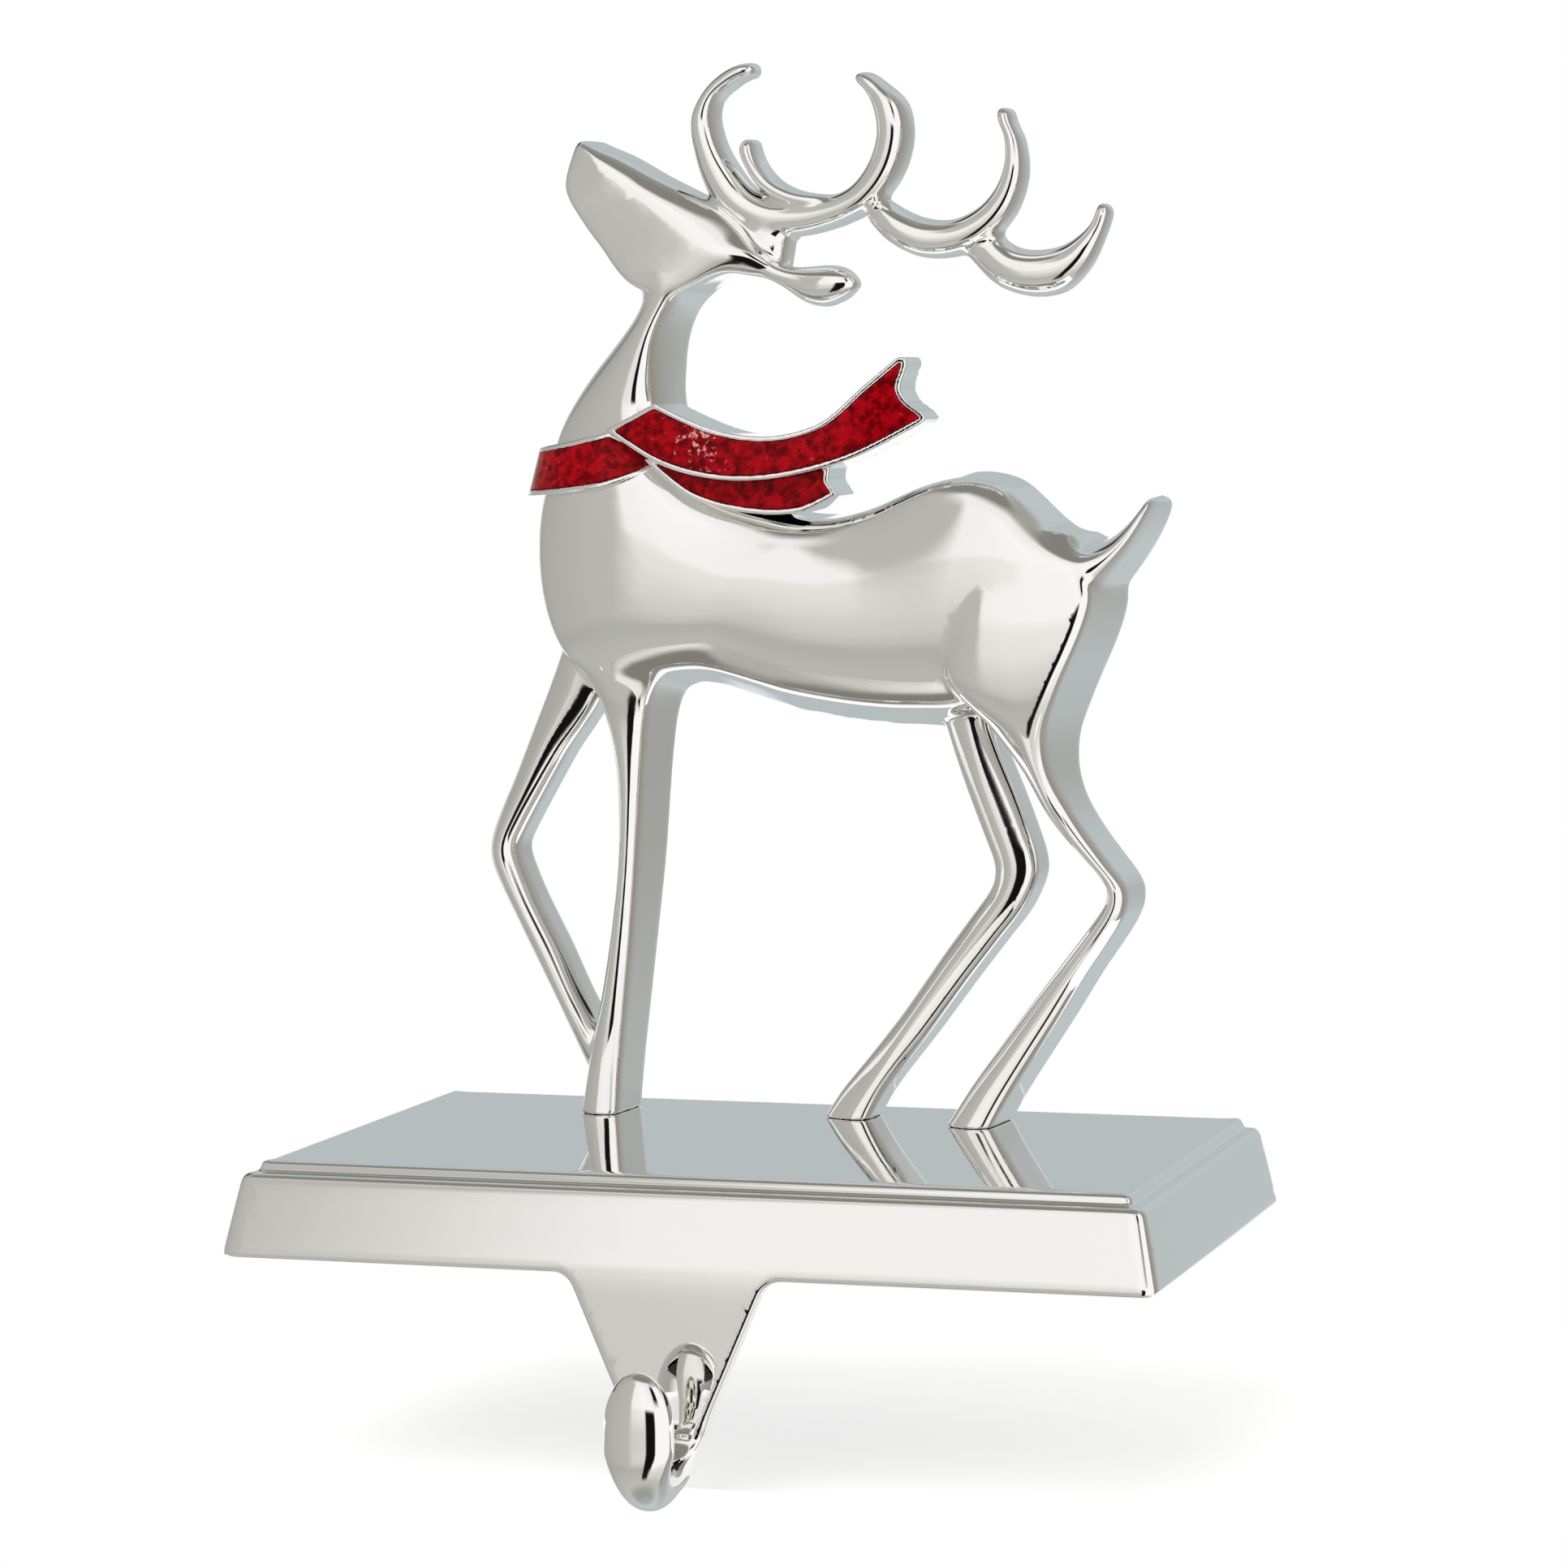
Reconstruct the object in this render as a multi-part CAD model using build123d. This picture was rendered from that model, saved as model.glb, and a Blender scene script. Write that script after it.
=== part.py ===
from build123d import *
import math
import os

os.makedirs("parts", exist_ok=True)

# Driving sizes of the base casting (mm).
BASE_L = 130.0
BASE_W = 84.8
SHOULDER_Z = 11.4
SKIRT_INSET = 2.5
STEP_INSET = 2.0
PLATE_UP = 1.5
CORNER_R = 2.0
SHOULDER_R = 1.0
PLATE_R = 0.9
WALL = 3.0
TOP_T = 4.4
PAD_T = 0.8
PAD_END_INSET = 2.0
PAD_SIDE_INSET = 9.0

# Tab and hook, cast with the base.
TAB_X = -1.4
TAB_T = 2.8
TAB_TOP_W = 28.0
TAB_END_W = 11.5
TAB_DROP = 19.0
HOOK_R = 6.4
HOOK_DROP = 5.5
HOOK_W = 9.7
HOOK_T = 5.4
HOOK_WAIST = 0.42
HOOK_BULK = 0.35
HOOK_TIP_Z = -10.4
HOOK_NOSE = 5.0
HOOK_STEPS = 8

# Reindeer casting: back planes, standing plane, wall drafts (degrees) and how far a crown leans in.
BACK_Y = 28.0
ANTLER_BACK_Y = 25.5
HEAD_BACK_Y = 26.0
NOSE_BACK_Y = 21.4
FOOT_Z = SHOULDER_Z + PLATE_UP
LIMB_DRAFT = 4.0
BELLY_DRAFT = 15.0
BACK_DRAFT = 3.0
HEAD_DRAFT = 1.0
SHOULDER_LEAN = 0.2

# Scarf rims and enamel.
RIM = 0.75
ENAMEL_T = 0.6
ENAMEL_DROP = 0.12
LONG_FRONT_R = 110.0
LONG_FRONT_Y = 9.4
SHORT_FRONT_Y = 11.0
COLLAR_X = -27.5
COLLAR_Y = 24.0
COLLAR_Z = 107.0
COLLAR_H = 16.0
COLLAR_LOW_R = 14.9
COLLAR_HIGH_R = 10.9

# Foot screws.
SCREW_D = 2.5
SCREW_IN = 4.0
HEAD_D = 5.0
HEAD_H = 1.7
CLEAR_D = 2.9
SCREW_AT = ((-29.6, 22.6), (8.2, 25.0), (26.2, 22.4))

KAPPA = 0.5523


def plate_box(length, width, z, radius):
    """Rounded rectangle on a level plane."""
    return Plane.XY.offset(z) * RectangleRounded(length, width, radius)


def crown_face(a, b, shoulder, crown, ridge, peak, draft_a, draft_b):
    """Section of a limb: two drafted walls, a straight back and a crown in two curves."""
    pa = Vector(a[0], shoulder, a[1])
    pb = Vector(b[0], shoulder, b[1])
    along = (pb - pa).normalized()
    half = (pb - pa).length / 2
    plane = Plane((pa + pb) / 2, x_dir=along, z_dir=along.cross(Vector(0, -1, 0)))
    deep = BACK_Y + 3.0 - shoulder
    back_a = -half - deep * math.tan(math.radians(draft_a))
    back_b = half + deep * math.tan(math.radians(draft_b))
    top = half * ridge
    rise = KAPPA * crown
    edge = half * (1 - SHOULDER_LEAN)
    if peak:
        flanks = [Line((-half, 0), (top, crown)), Line((top, crown), (half, 0))]
    else:
        flanks = [
            Bezier((-half, 0), (-edge, rise), (top - KAPPA * (top + half), crown), (top, crown)),
            Bezier((top, crown), (top + KAPPA * (half - top), crown), (edge, rise), (half, 0)),
        ]
    walls = [Line((back_a, -deep), (-half, 0)), Line((half, 0), (back_b, -deep))]
    return plane * make_face([*walls, *flanks, Line((back_b, -deep), (back_a, -deep))])


def spacing(s, t):
    """Distance between the middles of two stations in the front view."""
    return math.hypot(s[0] + s[2] - t[0] - t[2], s[1] + s[3] - t[1] - t[3]) / 2


def between(stations):
    """Add a smooth half-way station between each pair, so that sections follow one another closely."""
    first = [2 * u - v for u, v in zip(stations[0], stations[1])]
    last = [2 * u - v for u, v in zip(stations[-1], stations[-2])]
    row = [first, *stations, last]
    dense = []
    for p, q, r, t in zip(row, row[1:], row[2:], row[3:]):
        here = spacing(q, r)
        before = spacing(p, q) + here
        after = here + spacing(r, t)
        half_way = []
        for u, v, w, x in zip(p, q, r, t):
            half_way.append((v + w) / 2 + here / 8 * ((w - u) / before - (x - v) / after))
        dense += [q, half_way]
    return [*dense, stations[-1]]


def limb(stations, draft_a=LIMB_DRAFT, draft_b=LIMB_DRAFT, back=BACK_Y):
    """Loft a limb through stations and trim its back.

    A station is (ax, az, bx, bz, shoulder, crown) and may add a ridge, its peak and its own draft.
    """
    full = [(*s, *(0.0, 0.0, draft_b)[len(s) - 6:]) for s in stations]
    faces = []
    for s in between(full):
        faces.append(crown_face(s[0:2], s[2:4], s[4], s[5], s[6], s[7], draft_a, s[8]))
    return loft(faces, ruled=True) - Pos(0, back + 10, 85) * Box(160, 20, 240)


# Base: skirted tray with a step, a raised plate, and a hollow below.
skirt_draft = math.degrees(math.atan(SKIRT_INSET / SHOULDER_Z))
skirt = extrude(Rectangle(BASE_L, BASE_W), SHOULDER_Z, taper=skirt_draft)
skirt = fillet(skirt.edges().group_by(Axis.Z)[1], CORNER_R)
skirt = fillet(skirt.edges().group_by(Axis.Z)[-1], SHOULDER_R)
plate_in = SKIRT_INSET + STEP_INSET
plate_l = BASE_L - 2 * plate_in
plate_w = BASE_W - 2 * plate_in
plate = extrude(plate_box(plate_l, plate_w, SHOULDER_Z - 1.0, CORNER_R - 1.0), PLATE_UP + 1.0)
plate = fillet(plate.edges().group_by(Axis.Z)[-1], PLATE_R)
hollow = loft([
    plate_box(BASE_L - 2 * WALL, BASE_W - 2 * WALL, -1, CORNER_R - 0.7),
    plate_box(BASE_L - 2 * WALL - 4, BASE_W - 2 * WALL - 4, FOOT_Z - TOP_T, CORNER_R - 0.7),
], ruled=True)
rib_z = FOOT_Z - TOP_T
ribs = Part()
for x in (-38.0, 0.0, 38.0):
    ribs += Pos(x, 0, rib_z - 1.5) * Box(2.0, BASE_W - 2 * WALL, 3.2)

tab_front = -BASE_W / 2
tab_side = Plane.XZ.offset(-tab_front)
tab_outline = make_face(Polyline(
    (TAB_X - TAB_TOP_W / 2, 0),
    (TAB_X + TAB_TOP_W / 2, 0),
    (TAB_X + TAB_END_W / 2, -TAB_DROP),
    (TAB_X - TAB_END_W / 2, -TAB_DROP),
    close=True,
)) + Pos(TAB_X, 2) * Rectangle(TAB_TOP_W + 10, 4)
corners = [v for v in tab_outline.vertices() if abs(v.Y) < 0.01]
tab_outline = fillet(corners, 1.6)
tab_outline -= Pos(TAB_X, 4) * Rectangle(TAB_TOP_W + 20, 8)
tab = extrude(tab_side * tab_outline, -TAB_T)

hook_y = tab_front + TAB_T / 2 - HOOK_R
hook_z = -TAB_DROP - 1.9
hook_path = [(hook_y + HOOK_R, hook_z + 6.5, 0, 1.50, 0.50)]
for step in range(HOOK_STEPS + 1):
    share = step / HOOK_STEPS
    turn = math.pi * share
    wide = 1.0 + 0.2 * (1 - share) ** 2 - HOOK_WAIST * math.sin(turn)
    thick = 0.52 + 0.55 * math.sin(turn / 2) + HOOK_BULK * math.sin(turn)
    hook_path.append((hook_y + HOOK_R * math.cos(turn), hook_z - HOOK_DROP * math.sin(turn), turn, wide, thick))
for below in (5.0, 3.0, 1.6, 0.7, 0.2, 0.0):
    share = 1 - below / HOOK_NOSE
    size = math.sqrt(max(1 - share * share, 0.02))
    hook_path.append((hook_y - HOOK_R, HOOK_TIP_Z - below, math.pi, size, 1.07 * size))
hook_faces = []
for y, z, turn, wide, thick in hook_path:
    spot = Plane((TAB_X, y, z), x_dir=(1, 0, 0), z_dir=(0, -math.sin(turn), -math.cos(turn)))
    hook_faces.append(spot * Ellipse(HOOK_W * wide / 2, HOOK_T * thick / 2))
hook = loft(hook_faces, ruled=True)

base = skirt + plate - hollow + ribs + tab + hook
for x, y in SCREW_AT:
    base -= Pos(x, y, FOOT_Z) * Cylinder(CLEAR_D / 2, 4 * TOP_T)
    base -= Pos(x, y, rib_z - 2.0) * Cylinder(HEAD_D / 2 + 0.6, 4.0)

# Reindeer: each limb runs through stations (ax, az, bx, bz, shoulder, crown, ridge, peak).
trunk = limb([
    (-13.0, 133.0, -24.5, 133.5, 18.0, 3.5),
    (-17.2, 129.5, -23.3, 129.8, 18.0, 3.5),
    (-19.6, 125.0, -25.8, 125.3, 18.0, 3.8),
    (-20.3, 120.0, -30.0, 120.0, 18.0, 4.0),
    (-20.3, 115.5, -33.3, 115.2, 17.8, 4.0),
    (-19.0, 111.0, -35.6, 110.5, 17.4, 4.2),
    (-17.0, 107.5, -37.0, 104.5, 16.8, 4.6),
    (-14.5, 104.5, -37.9, 98.0, 16.3, 5.2),
    (-11.5, 102.0, -37.3, 88.5, 16.0, 5.8),
    (-8.0, 100.4, -33.5, 79.5, 16.0, 6.0),
    (-4.0, 99.4, -24.0, 76.8, 16.0, 6.0),
    (1.0, 98.6, -13.0, 77.5, 16.0, 6.0),
    (6.0, 98.8, -2.0, 74.6, 16.0, 6.0),
    (12.0, 100.4, 9.0, 72.9, 16.0, 6.0),
    (18.0, 103.0, 18.5, 72.6, 15.8, 6.0),
    (24.5, 104.5, 26.5, 73.5, 15.6, 6.0),
    (31.0, 103.2, 33.0, 78.0, 15.6, 5.8),
    (36.5, 98.4, 38.0, 84.0, 16.0, 5.0),
    (40.4, 94.6, 41.4, 86.8, 16.8, 3.6),
    (42.4, 92.0, 42.8, 88.6, 17.6, 2.0),
], BACK_DRAFT, BELLY_DRAFT)
head = limb([
    (-31.4, 152.8, -32.6, 152.1, 18.0, 0.6),
    (-30.2, 152.2, -32.9, 150.6, 18.0, 1.5),
    (-26.0, 150.4, -33.8, 146.0, 18.0, 2.6),
    (-21.0, 147.6, -31.8, 141.8, 18.0, 3.0),
    (-16.0, 145.1, -28.2, 137.0, 18.0, 3.2),
    (-11.5, 142.6, -24.0, 132.0, 18.0, 3.4),
    (-8.2, 139.8, -17.5, 130.5, 18.0, 3.4),
    (-5.6, 137.2, -10.5, 133.4, 18.0, 3.0),
    (-3.6, 135.3, -6.0, 133.0, 18.4, 2.0),
], HEAD_DRAFT, HEAD_DRAFT, HEAD_BACK_Y)
muzzle = limb([
    (-5.6, 137.0, -8.8, 133.6, 18.2, 2.4),
    (-3.3, 135.2, -5.0, 132.6, 18.4, 2.0),
    (-0.8, 134.4, -2.2, 131.2, 18.6, 2.2),
    (2.0, 134.5, 0.8, 129.2, 18.8, 2.6),
    (4.6, 134.6, 4.0, 128.6, 18.8, 2.8),
    (6.6, 134.2, 6.6, 129.5, 18.8, 2.4),
    (8.0, 133.3, 8.0, 130.4, 18.8, 1.8),
    (8.8, 132.3, 8.8, 131.3, 18.8, 0.8),
], HEAD_DRAFT, HEAD_DRAFT, NOSE_BACK_Y)
cheek = limb([
    (-31.7, 147.2, -32.5, 146.5, 16.2, 0.6),
    (-30.8, 147.0, -32.2, 145.0, 16.2, 1.2),
    (-27.0, 145.0, -30.8, 141.8, 15.8, 2.0),
    (-22.0, 142.3, -27.4, 137.2, 15.6, 2.2),
    (-16.5, 140.3, -23.6, 132.5, 15.6, 2.2),
    (-11.0, 138.6, -18.5, 130.5, 15.8, 2.0),
    (-7.0, 136.6, -11.0, 133.8, 16.4, 1.6),
], back=HEAD_BACK_Y)
antler = limb([
    (-7.3, 162.7, -7.1, 162.2, 20.0, 0.5),
    (-9.0, 162.9, -8.4, 161.4, 20.0, 1.0),
    (-11.5, 162.0, -10.2, 160.3, 20.0, 1.4),
    (-14.5, 159.6, -12.2, 158.0, 20.0, 1.8),
    (-16.6, 155.5, -12.7, 155.3, 20.0, 2.0),
    (-16.2, 151.0, -11.6, 151.5, 20.0, 2.1),
    (-14.8, 146.3, -9.5, 148.0, 20.0, 2.1),
    (-12.0, 142.3, -7.2, 145.3, 20.0, 2.1),
    (-7.5, 139.4, -4.0, 143.9, 20.0, 2.1),
    (-2.0, 138.5, -0.8, 143.8, 20.0, 2.1),
    (4.0, 139.6, 3.0, 144.2, 20.0, 2.1),
    (10.0, 142.3, 7.0, 145.8, 20.0, 2.1),
    (14.0, 146.8, 9.6, 149.2, 20.0, 2.1),
    (15.7, 152.5, 10.6, 152.8, 20.0, 2.1),
    (14.8, 157.3, 10.3, 155.8, 20.0, 2.0),
    (12.0, 160.0, 9.4, 158.2, 20.0, 1.5),
    (9.8, 160.9, 8.8, 159.6, 20.0, 1.1),
    (8.3, 160.9, 8.0, 160.5, 20.0, 0.5),
], back=ANTLER_BACK_Y)
tine = limb([
    (-8.6, 152.0, -8.0, 152.2, 19.5, 0.6),
    (-8.9, 151.0, -7.2, 151.4, 19.5, 1.2),
    (-8.4, 148.5, -5.8, 149.0, 19.3, 1.5),
    (-6.4, 145.6, -3.6, 146.6, 19.2, 2.0),
    (-3.0, 143.4, -0.6, 145.2, 19.2, 2.0),
    (1.0, 142.6, 2.4, 144.7, 19.3, 1.5),
    (4.5, 143.2, 5.0, 144.4, 20.0, 1.0),
], back=ANTLER_BACK_Y)
branch = limb([
    (8.8, 141.2, 12.2, 143.8, 20.6, 2.0),
    (12.0, 137.8, 14.5, 142.3, 20.4, 2.1),
    (17.0, 135.4, 18.0, 141.0, 20.4, 2.2),
    (22.5, 135.6, 22.0, 141.0, 20.4, 2.2),
    (27.5, 138.0, 25.7, 142.8, 20.4, 2.1),
    (30.8, 141.8, 28.0, 145.5, 20.4, 2.0),
    (32.4, 147.0, 29.1, 148.7, 20.4, 1.8),
    (31.9, 151.8, 29.0, 152.2, 20.4, 1.5),
    (30.3, 154.6, 28.5, 154.6, 20.4, 1.2),
    (29.6, 155.9, 28.9, 155.8, 20.4, 0.5),
], back=ANTLER_BACK_Y)
twig = limb([
    (22.0, 137.4, 27.0, 140.2, 21.4, 1.5),
    (24.6, 134.4, 28.8, 138.2, 21.1, 1.8),
    (28.0, 131.3, 31.0, 136.8, 21.0, 2.1),
    (33.0, 129.8, 34.0, 136.5, 21.0, 2.2),
    (38.0, 130.6, 37.3, 137.1, 21.0, 2.1),
    (41.5, 134.0, 39.9, 138.7, 21.0, 1.8),
    (43.4, 138.0, 41.4, 140.2, 21.0, 1.4),
    (43.9, 140.8, 42.4, 141.6, 21.0, 1.0),
    (43.6, 142.0, 43.1, 142.3, 21.0, 0.5),
], back=ANTLER_BACK_Y)
web = limb([
    (-6.7, 140.0, -3.1, 140.0, 22.0, 0.6),
    (-6.1, 136.5, -3.9, 136.5, 22.0, 0.6),
    (-7.0, 134.0, -3.3, 134.0, 22.0, 0.6),
], back=ANTLER_BACK_Y)
tail = limb([
    (34.0, 96.0, 37.0, 86.0, 18.6, 3.0),
    (40.0, 94.6, 42.4, 88.8, 18.4, 3.0, 0.3, 0.3),
    (43.8, 95.2, 45.6, 91.4, 18.8, 2.4, 0.3, 0.3),
    (46.8, 97.4, 48.6, 94.8, 19.4, 2.0, 0.3, 0.3),
    (49.0, 99.8, 50.4, 98.0, 19.8, 1.6, 0.3, 0.2),
    (50.1, 101.2, 51.3, 100.4, 20.0, 1.0),
    (50.6, 101.8, 51.3, 101.4, 20.0, 0.5),
])
hind_near = limb([
    (24.5, 93.0, 40.0, 93.0, 16.0, 4.5, 0.0, 0.0, 14.0),
    (21.8, 86.0, 42.6, 86.0, 15.2, 5.6, -0.2, 0.1, 14.0),
    (20.8, 79.0, 39.2, 79.0, 15.2, 5.6, 0.1, 0.22, 15.0),
    (22.6, 74.3, 37.0, 75.0, 15.6, 5.0, 0.2, 0.3, 16.0),
    (26.5, 69.8, 35.8, 71.0, 16.0, 4.0, 0.3, 0.3, 16.0),
    (30.2, 65.6, 35.6, 67.0, 16.6, 3.0, 0.3, 0.3, 16.0),
    (33.2, 61.2, 36.4, 62.6, 17.2, 2.0, 0.2, 0.3, 14.0),
    (36.0, 57.3, 38.6, 58.2, 17.4, 1.6, 0.2, 0.3, 11.0),
    (39.4, 53.2, 42.0, 53.8, 17.5, 1.6, 0.2, 0.3, 8.0),
    (42.3, 50.2, 45.0, 50.4, 17.5, 1.6, 0.1, 0.3, 6.0),
    (44.3, 47.6, 47.4, 47.4, 17.5, 1.6, 0.1, 0.3, 4.0),
    (44.4, 45.4, 47.4, 44.2, 17.5, 1.7, 0.1, 0.3, 4.0),
    (42.6, 42.4, 45.6, 40.6, 17.5, 1.8, 0.1, 0.3, 4.0),
    (39.0, 37.6, 42.2, 35.6, 17.5, 1.8, 0.1, 0.3, 4.0),
    (34.2, 31.2, 38.0, 28.8, 17.5, 1.8, 0.1, 0.3, 4.0),
    (29.4, 24.6, 33.6, 22.0, 17.5, 1.8, 0.1, 0.3, 4.0),
    (24.9, 18.3, 29.5, 15.4, 17.4, 1.6, 0.1, 0.3, 4.0),
    (19.6, 9.6, 24.8, 6.2, 17.0, 1.2, 0.1, 0.3, 4.0),
])
hind_far = limb([
    (18.0, 78.0, 26.0, 79.0, 22.0, 2.4, 0.0, 0.2),
    (20.7, 68.2, 27.0, 69.4, 22.0, 2.4, 0.1, 0.3),
    (23.4, 60.2, 30.0, 61.6, 22.0, 2.4, 0.2, 0.3),
    (26.2, 53.0, 33.0, 53.8, 22.0, 2.4, 0.2, 0.3),
    (27.4, 49.4, 34.0, 49.0, 22.0, 2.4, 0.2, 0.3),
    (26.8, 46.4, 32.0, 44.0, 22.0, 2.4, 0.2, 0.3),
    (24.6, 43.2, 29.0, 40.0, 22.0, 2.4, 0.2, 0.3),
    (20.0, 37.0, 24.2, 33.8, 22.0, 2.4, 0.2, 0.3),
    (13.8, 28.2, 17.8, 25.2, 22.0, 2.4, 0.2, 0.3),
    (8.2, 21.0, 12.2, 18.0, 22.0, 2.2, 0.2, 0.3),
    (4.5, 16.4, 9.2, 13.0, 22.0, 1.8, 0.2, 0.3),
    (0.6, 10.0, 6.2, 5.8, 22.0, 1.2, 0.2, 0.3),
])
front_near = limb([
    (-35.0, 85.0, -19.0, 85.0, 17.0, 4.5),
    (-31.3, 76.0, -22.0, 77.0, 17.6, 3.0, 0.2, 0.1),
    (-28.2, 70.0, -23.6, 70.0, 18.0, 1.8, 0.3, 0.2),
    (-27.2, 60.0, -24.1, 60.0, 18.0, 1.5, 0.3, 0.3),
    (-27.4, 50.0, -24.6, 50.0, 18.0, 1.5, 0.3, 0.3),
    (-28.5, 40.0, -25.2, 40.0, 18.0, 1.5, 0.3, 0.3),
    (-30.0, 30.0, -26.0, 30.0, 18.0, 1.6, 0.3, 0.3),
    (-32.0, 20.0, -26.8, 20.0, 18.0, 1.6, 0.3, 0.3),
    (-33.4, 11.0, -27.6, 11.0, 18.0, 1.0, 0.3, 0.3),
])
front_far = limb([
    (-35.5, 84.0, -28.2, 80.6, 22.0, 2.4),
    (-38.8, 75.5, -31.6, 71.6, 22.0, 2.2, 0.2, 0.3),
    (-41.8, 68.5, -35.8, 65.4, 22.0, 2.2, 0.3, 0.3),
    (-45.2, 60.3, -40.0, 58.2, 22.0, 2.2, 0.3, 0.3),
    (-47.8, 54.4, -42.8, 53.1, 22.0, 2.2, 0.3, 0.3),
    (-48.7, 50.8, -43.6, 50.9, 22.0, 2.2, 0.3, 0.3),
    (-48.2, 47.6, -43.2, 48.9, 22.0, 2.2, 0.3, 0.3),
    (-45.2, 41.3, -40.8, 43.3, 22.0, 2.2, 0.3, 0.3),
    (-41.8, 34.6, -37.4, 36.8, 22.0, 2.2, 0.3, 0.3),
    (-38.3, 27.7, -34.1, 29.8, 22.0, 2.2, 0.3, 0.3),
    (-34.8, 20.7, -30.4, 23.0, 22.0, 2.0, 0.3, 0.3),
    (-32.4, 16.0, -28.2, 18.0, 22.0, 1.4, 0.3, 0.3),
])

# Scarf slabs: clockwise sides of each outline in the front view, enamel set inside a thin rim.
collar_sides = [
    ((-46.0, 108.0), (-33.0, 109.7), (-26.0, 111.2)),
    ((-26.0, 111.2), (-17.0, 107.0)),
    ((-17.0, 107.0), (-27.0, 103.3), (-46.0, 101.6)),
    ((-46.0, 101.6), (-46.0, 108.0)),
]
long_sides = [
    ((-26.2, 111.4), (-18.6, 115.2)),
    ((-18.6, 115.2), (-10.5, 111.7), (-2.5, 110.5), (5.0, 112.3), (10.5, 117.0), (15.6, 121.4)),
    ((15.6, 121.4), (16.9, 120.6)),
    ((16.9, 120.6), (15.9, 116.4)),
    ((15.9, 116.4), (19.4, 112.7)),
    ((19.4, 112.7), (10.0, 107.6), (0.0, 104.8), (-9.0, 104.4), (-18.0, 106.6), (-26.2, 111.4)),
]
short_sides = [
    ((-22.8, 109.0), (-5.0, 107.0), (6.1, 106.4)),
    ((6.1, 106.4), (5.8, 104.4)),
    ((5.8, 104.4), (7.1, 102.3)),
    ((7.1, 102.3), (2.0, 99.9), (-5.0, 99.7), (-14.0, 101.4), (-22.8, 104.6)),
    ((-22.8, 104.6), (-22.8, 109.0)),
]


def side_edge(points):
    """Straight or smooth side through its points."""
    return Line(*points) if len(points) == 2 else Spline(*points)


def inset(sides, rim):
    """Sides of an outline moved inwards by the width of a rim."""
    edges = [side_edge(points) for points in sides]
    corners = []
    for k, edge in enumerate(edges):
        before = edges[k - 1] % 1
        after = edge % 0
        n1 = Vector(before.Y, -before.X)
        n2 = Vector(after.Y, -after.X)
        corners.append(edge @ 0 + (n1 + n2) * (rim / (1 + n1.dot(n2))))
    moved = []
    for k, edge in enumerate(edges):
        points = [corners[k]]
        if len(sides[k]) > 2:
            for t in (0.12, 0.3, 0.5, 0.7, 0.88):
                run = edge % t
                points.append(edge @ t + Vector(run.Y, -run.X) * rim)
        points.append(corners[(k + 1) % len(edges)])
        moved.append(points)
    return moved


def outline(sides):
    """Face inside the sides of an outline."""
    return make_face([side_edge(points) for points in sides])


collar_outline = outline(collar_sides)
long_outline = outline(long_sides)
short_outline = outline(short_sides)


def collar_cone(less):
    """Cone that the collar band lies on, smaller by a given amount."""
    return Pos(COLLAR_X, COLLAR_Y, COLLAR_Z) * Cone(COLLAR_LOW_R - less, COLLAR_HIGH_R - less, COLLAR_H)


def drum(front, radius, less):
    """Upright round bar whose front line is the crest of a slab."""
    return Pos(-14.0, front + radius, 108.0) * Cylinder(radius - less, 60.0)


def prism(outline, front, back):
    """Extrude an outline of the front view between two depths."""
    return extrude(Plane.XZ.offset(-front) * outline, front - back)


slab_back = 22.5
collar = prism(collar_outline, 4.0, BACK_Y) & collar_cone(0)
long_slab = prism(long_outline, 4.0, slab_back) & drum(LONG_FRONT_Y, LONG_FRONT_R, 0)
short_slab = prism(short_outline, 4.0, slab_back) & drum(SHORT_FRONT_Y, LONG_FRONT_R, 0)

reindeer = trunk
for piece in (head, muzzle, cheek, tail, hind_near, hind_far, front_near, front_far):
    reindeer += piece
crown = antler
for piece in (tine, branch, twig, web):
    crown += piece
reindeer += crown
for piece in (collar, short_slab, long_slab):
    reindeer += piece
reindeer -= Pos(0, 0, FOOT_Z - 20) * Box(200, 200, 40)

long_in = outline(inset(long_sides, RIM))
short_in = outline(inset(short_sides, RIM))
collar_in = outline(inset(collar_sides, RIM))
long_well = prism(long_in, 4.0, slab_back) - drum(LONG_FRONT_Y, LONG_FRONT_R, ENAMEL_T)
short_well = prism(short_in, 4.0, slab_back) - drum(SHORT_FRONT_Y, LONG_FRONT_R, ENAMEL_T)
short_well -= prism(long_outline, 4.0, slab_back)
collar_well = prism(collar_in, 4.0, BACK_Y - 1.0) - collar_cone(ENAMEL_T)
collar_well -= prism(long_outline, 4.0, BACK_Y) + prism(short_outline, 4.0, BACK_Y)
reindeer -= long_well
reindeer -= short_well
reindeer -= collar_well
long_enamel = long_well & drum(LONG_FRONT_Y, LONG_FRONT_R, ENAMEL_DROP)
short_enamel = short_well & drum(SHORT_FRONT_Y, LONG_FRONT_R, ENAMEL_DROP)
collar_enamel = collar_well & collar_cone(ENAMEL_DROP)

screws = Part()
for x, y in SCREW_AT:
    level = Plane.XY.offset(rib_z) * Pos(x, y)
    screws += extrude(level * Circle(SCREW_D / 2), TOP_T + SCREW_IN)
    screws += extrude(level * Circle(HEAD_D / 2), -HEAD_H)
    reindeer -= Pos(x, y, FOOT_Z) * Cylinder(SCREW_D / 2, 2 * SCREW_IN + 0.6)

pad_l = BASE_L - 2 * PAD_END_INSET
pad = extrude(plate_box(pad_l, BASE_W - 2 * PAD_SIDE_INSET, -PAD_T, CORNER_R), PAD_T)

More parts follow.
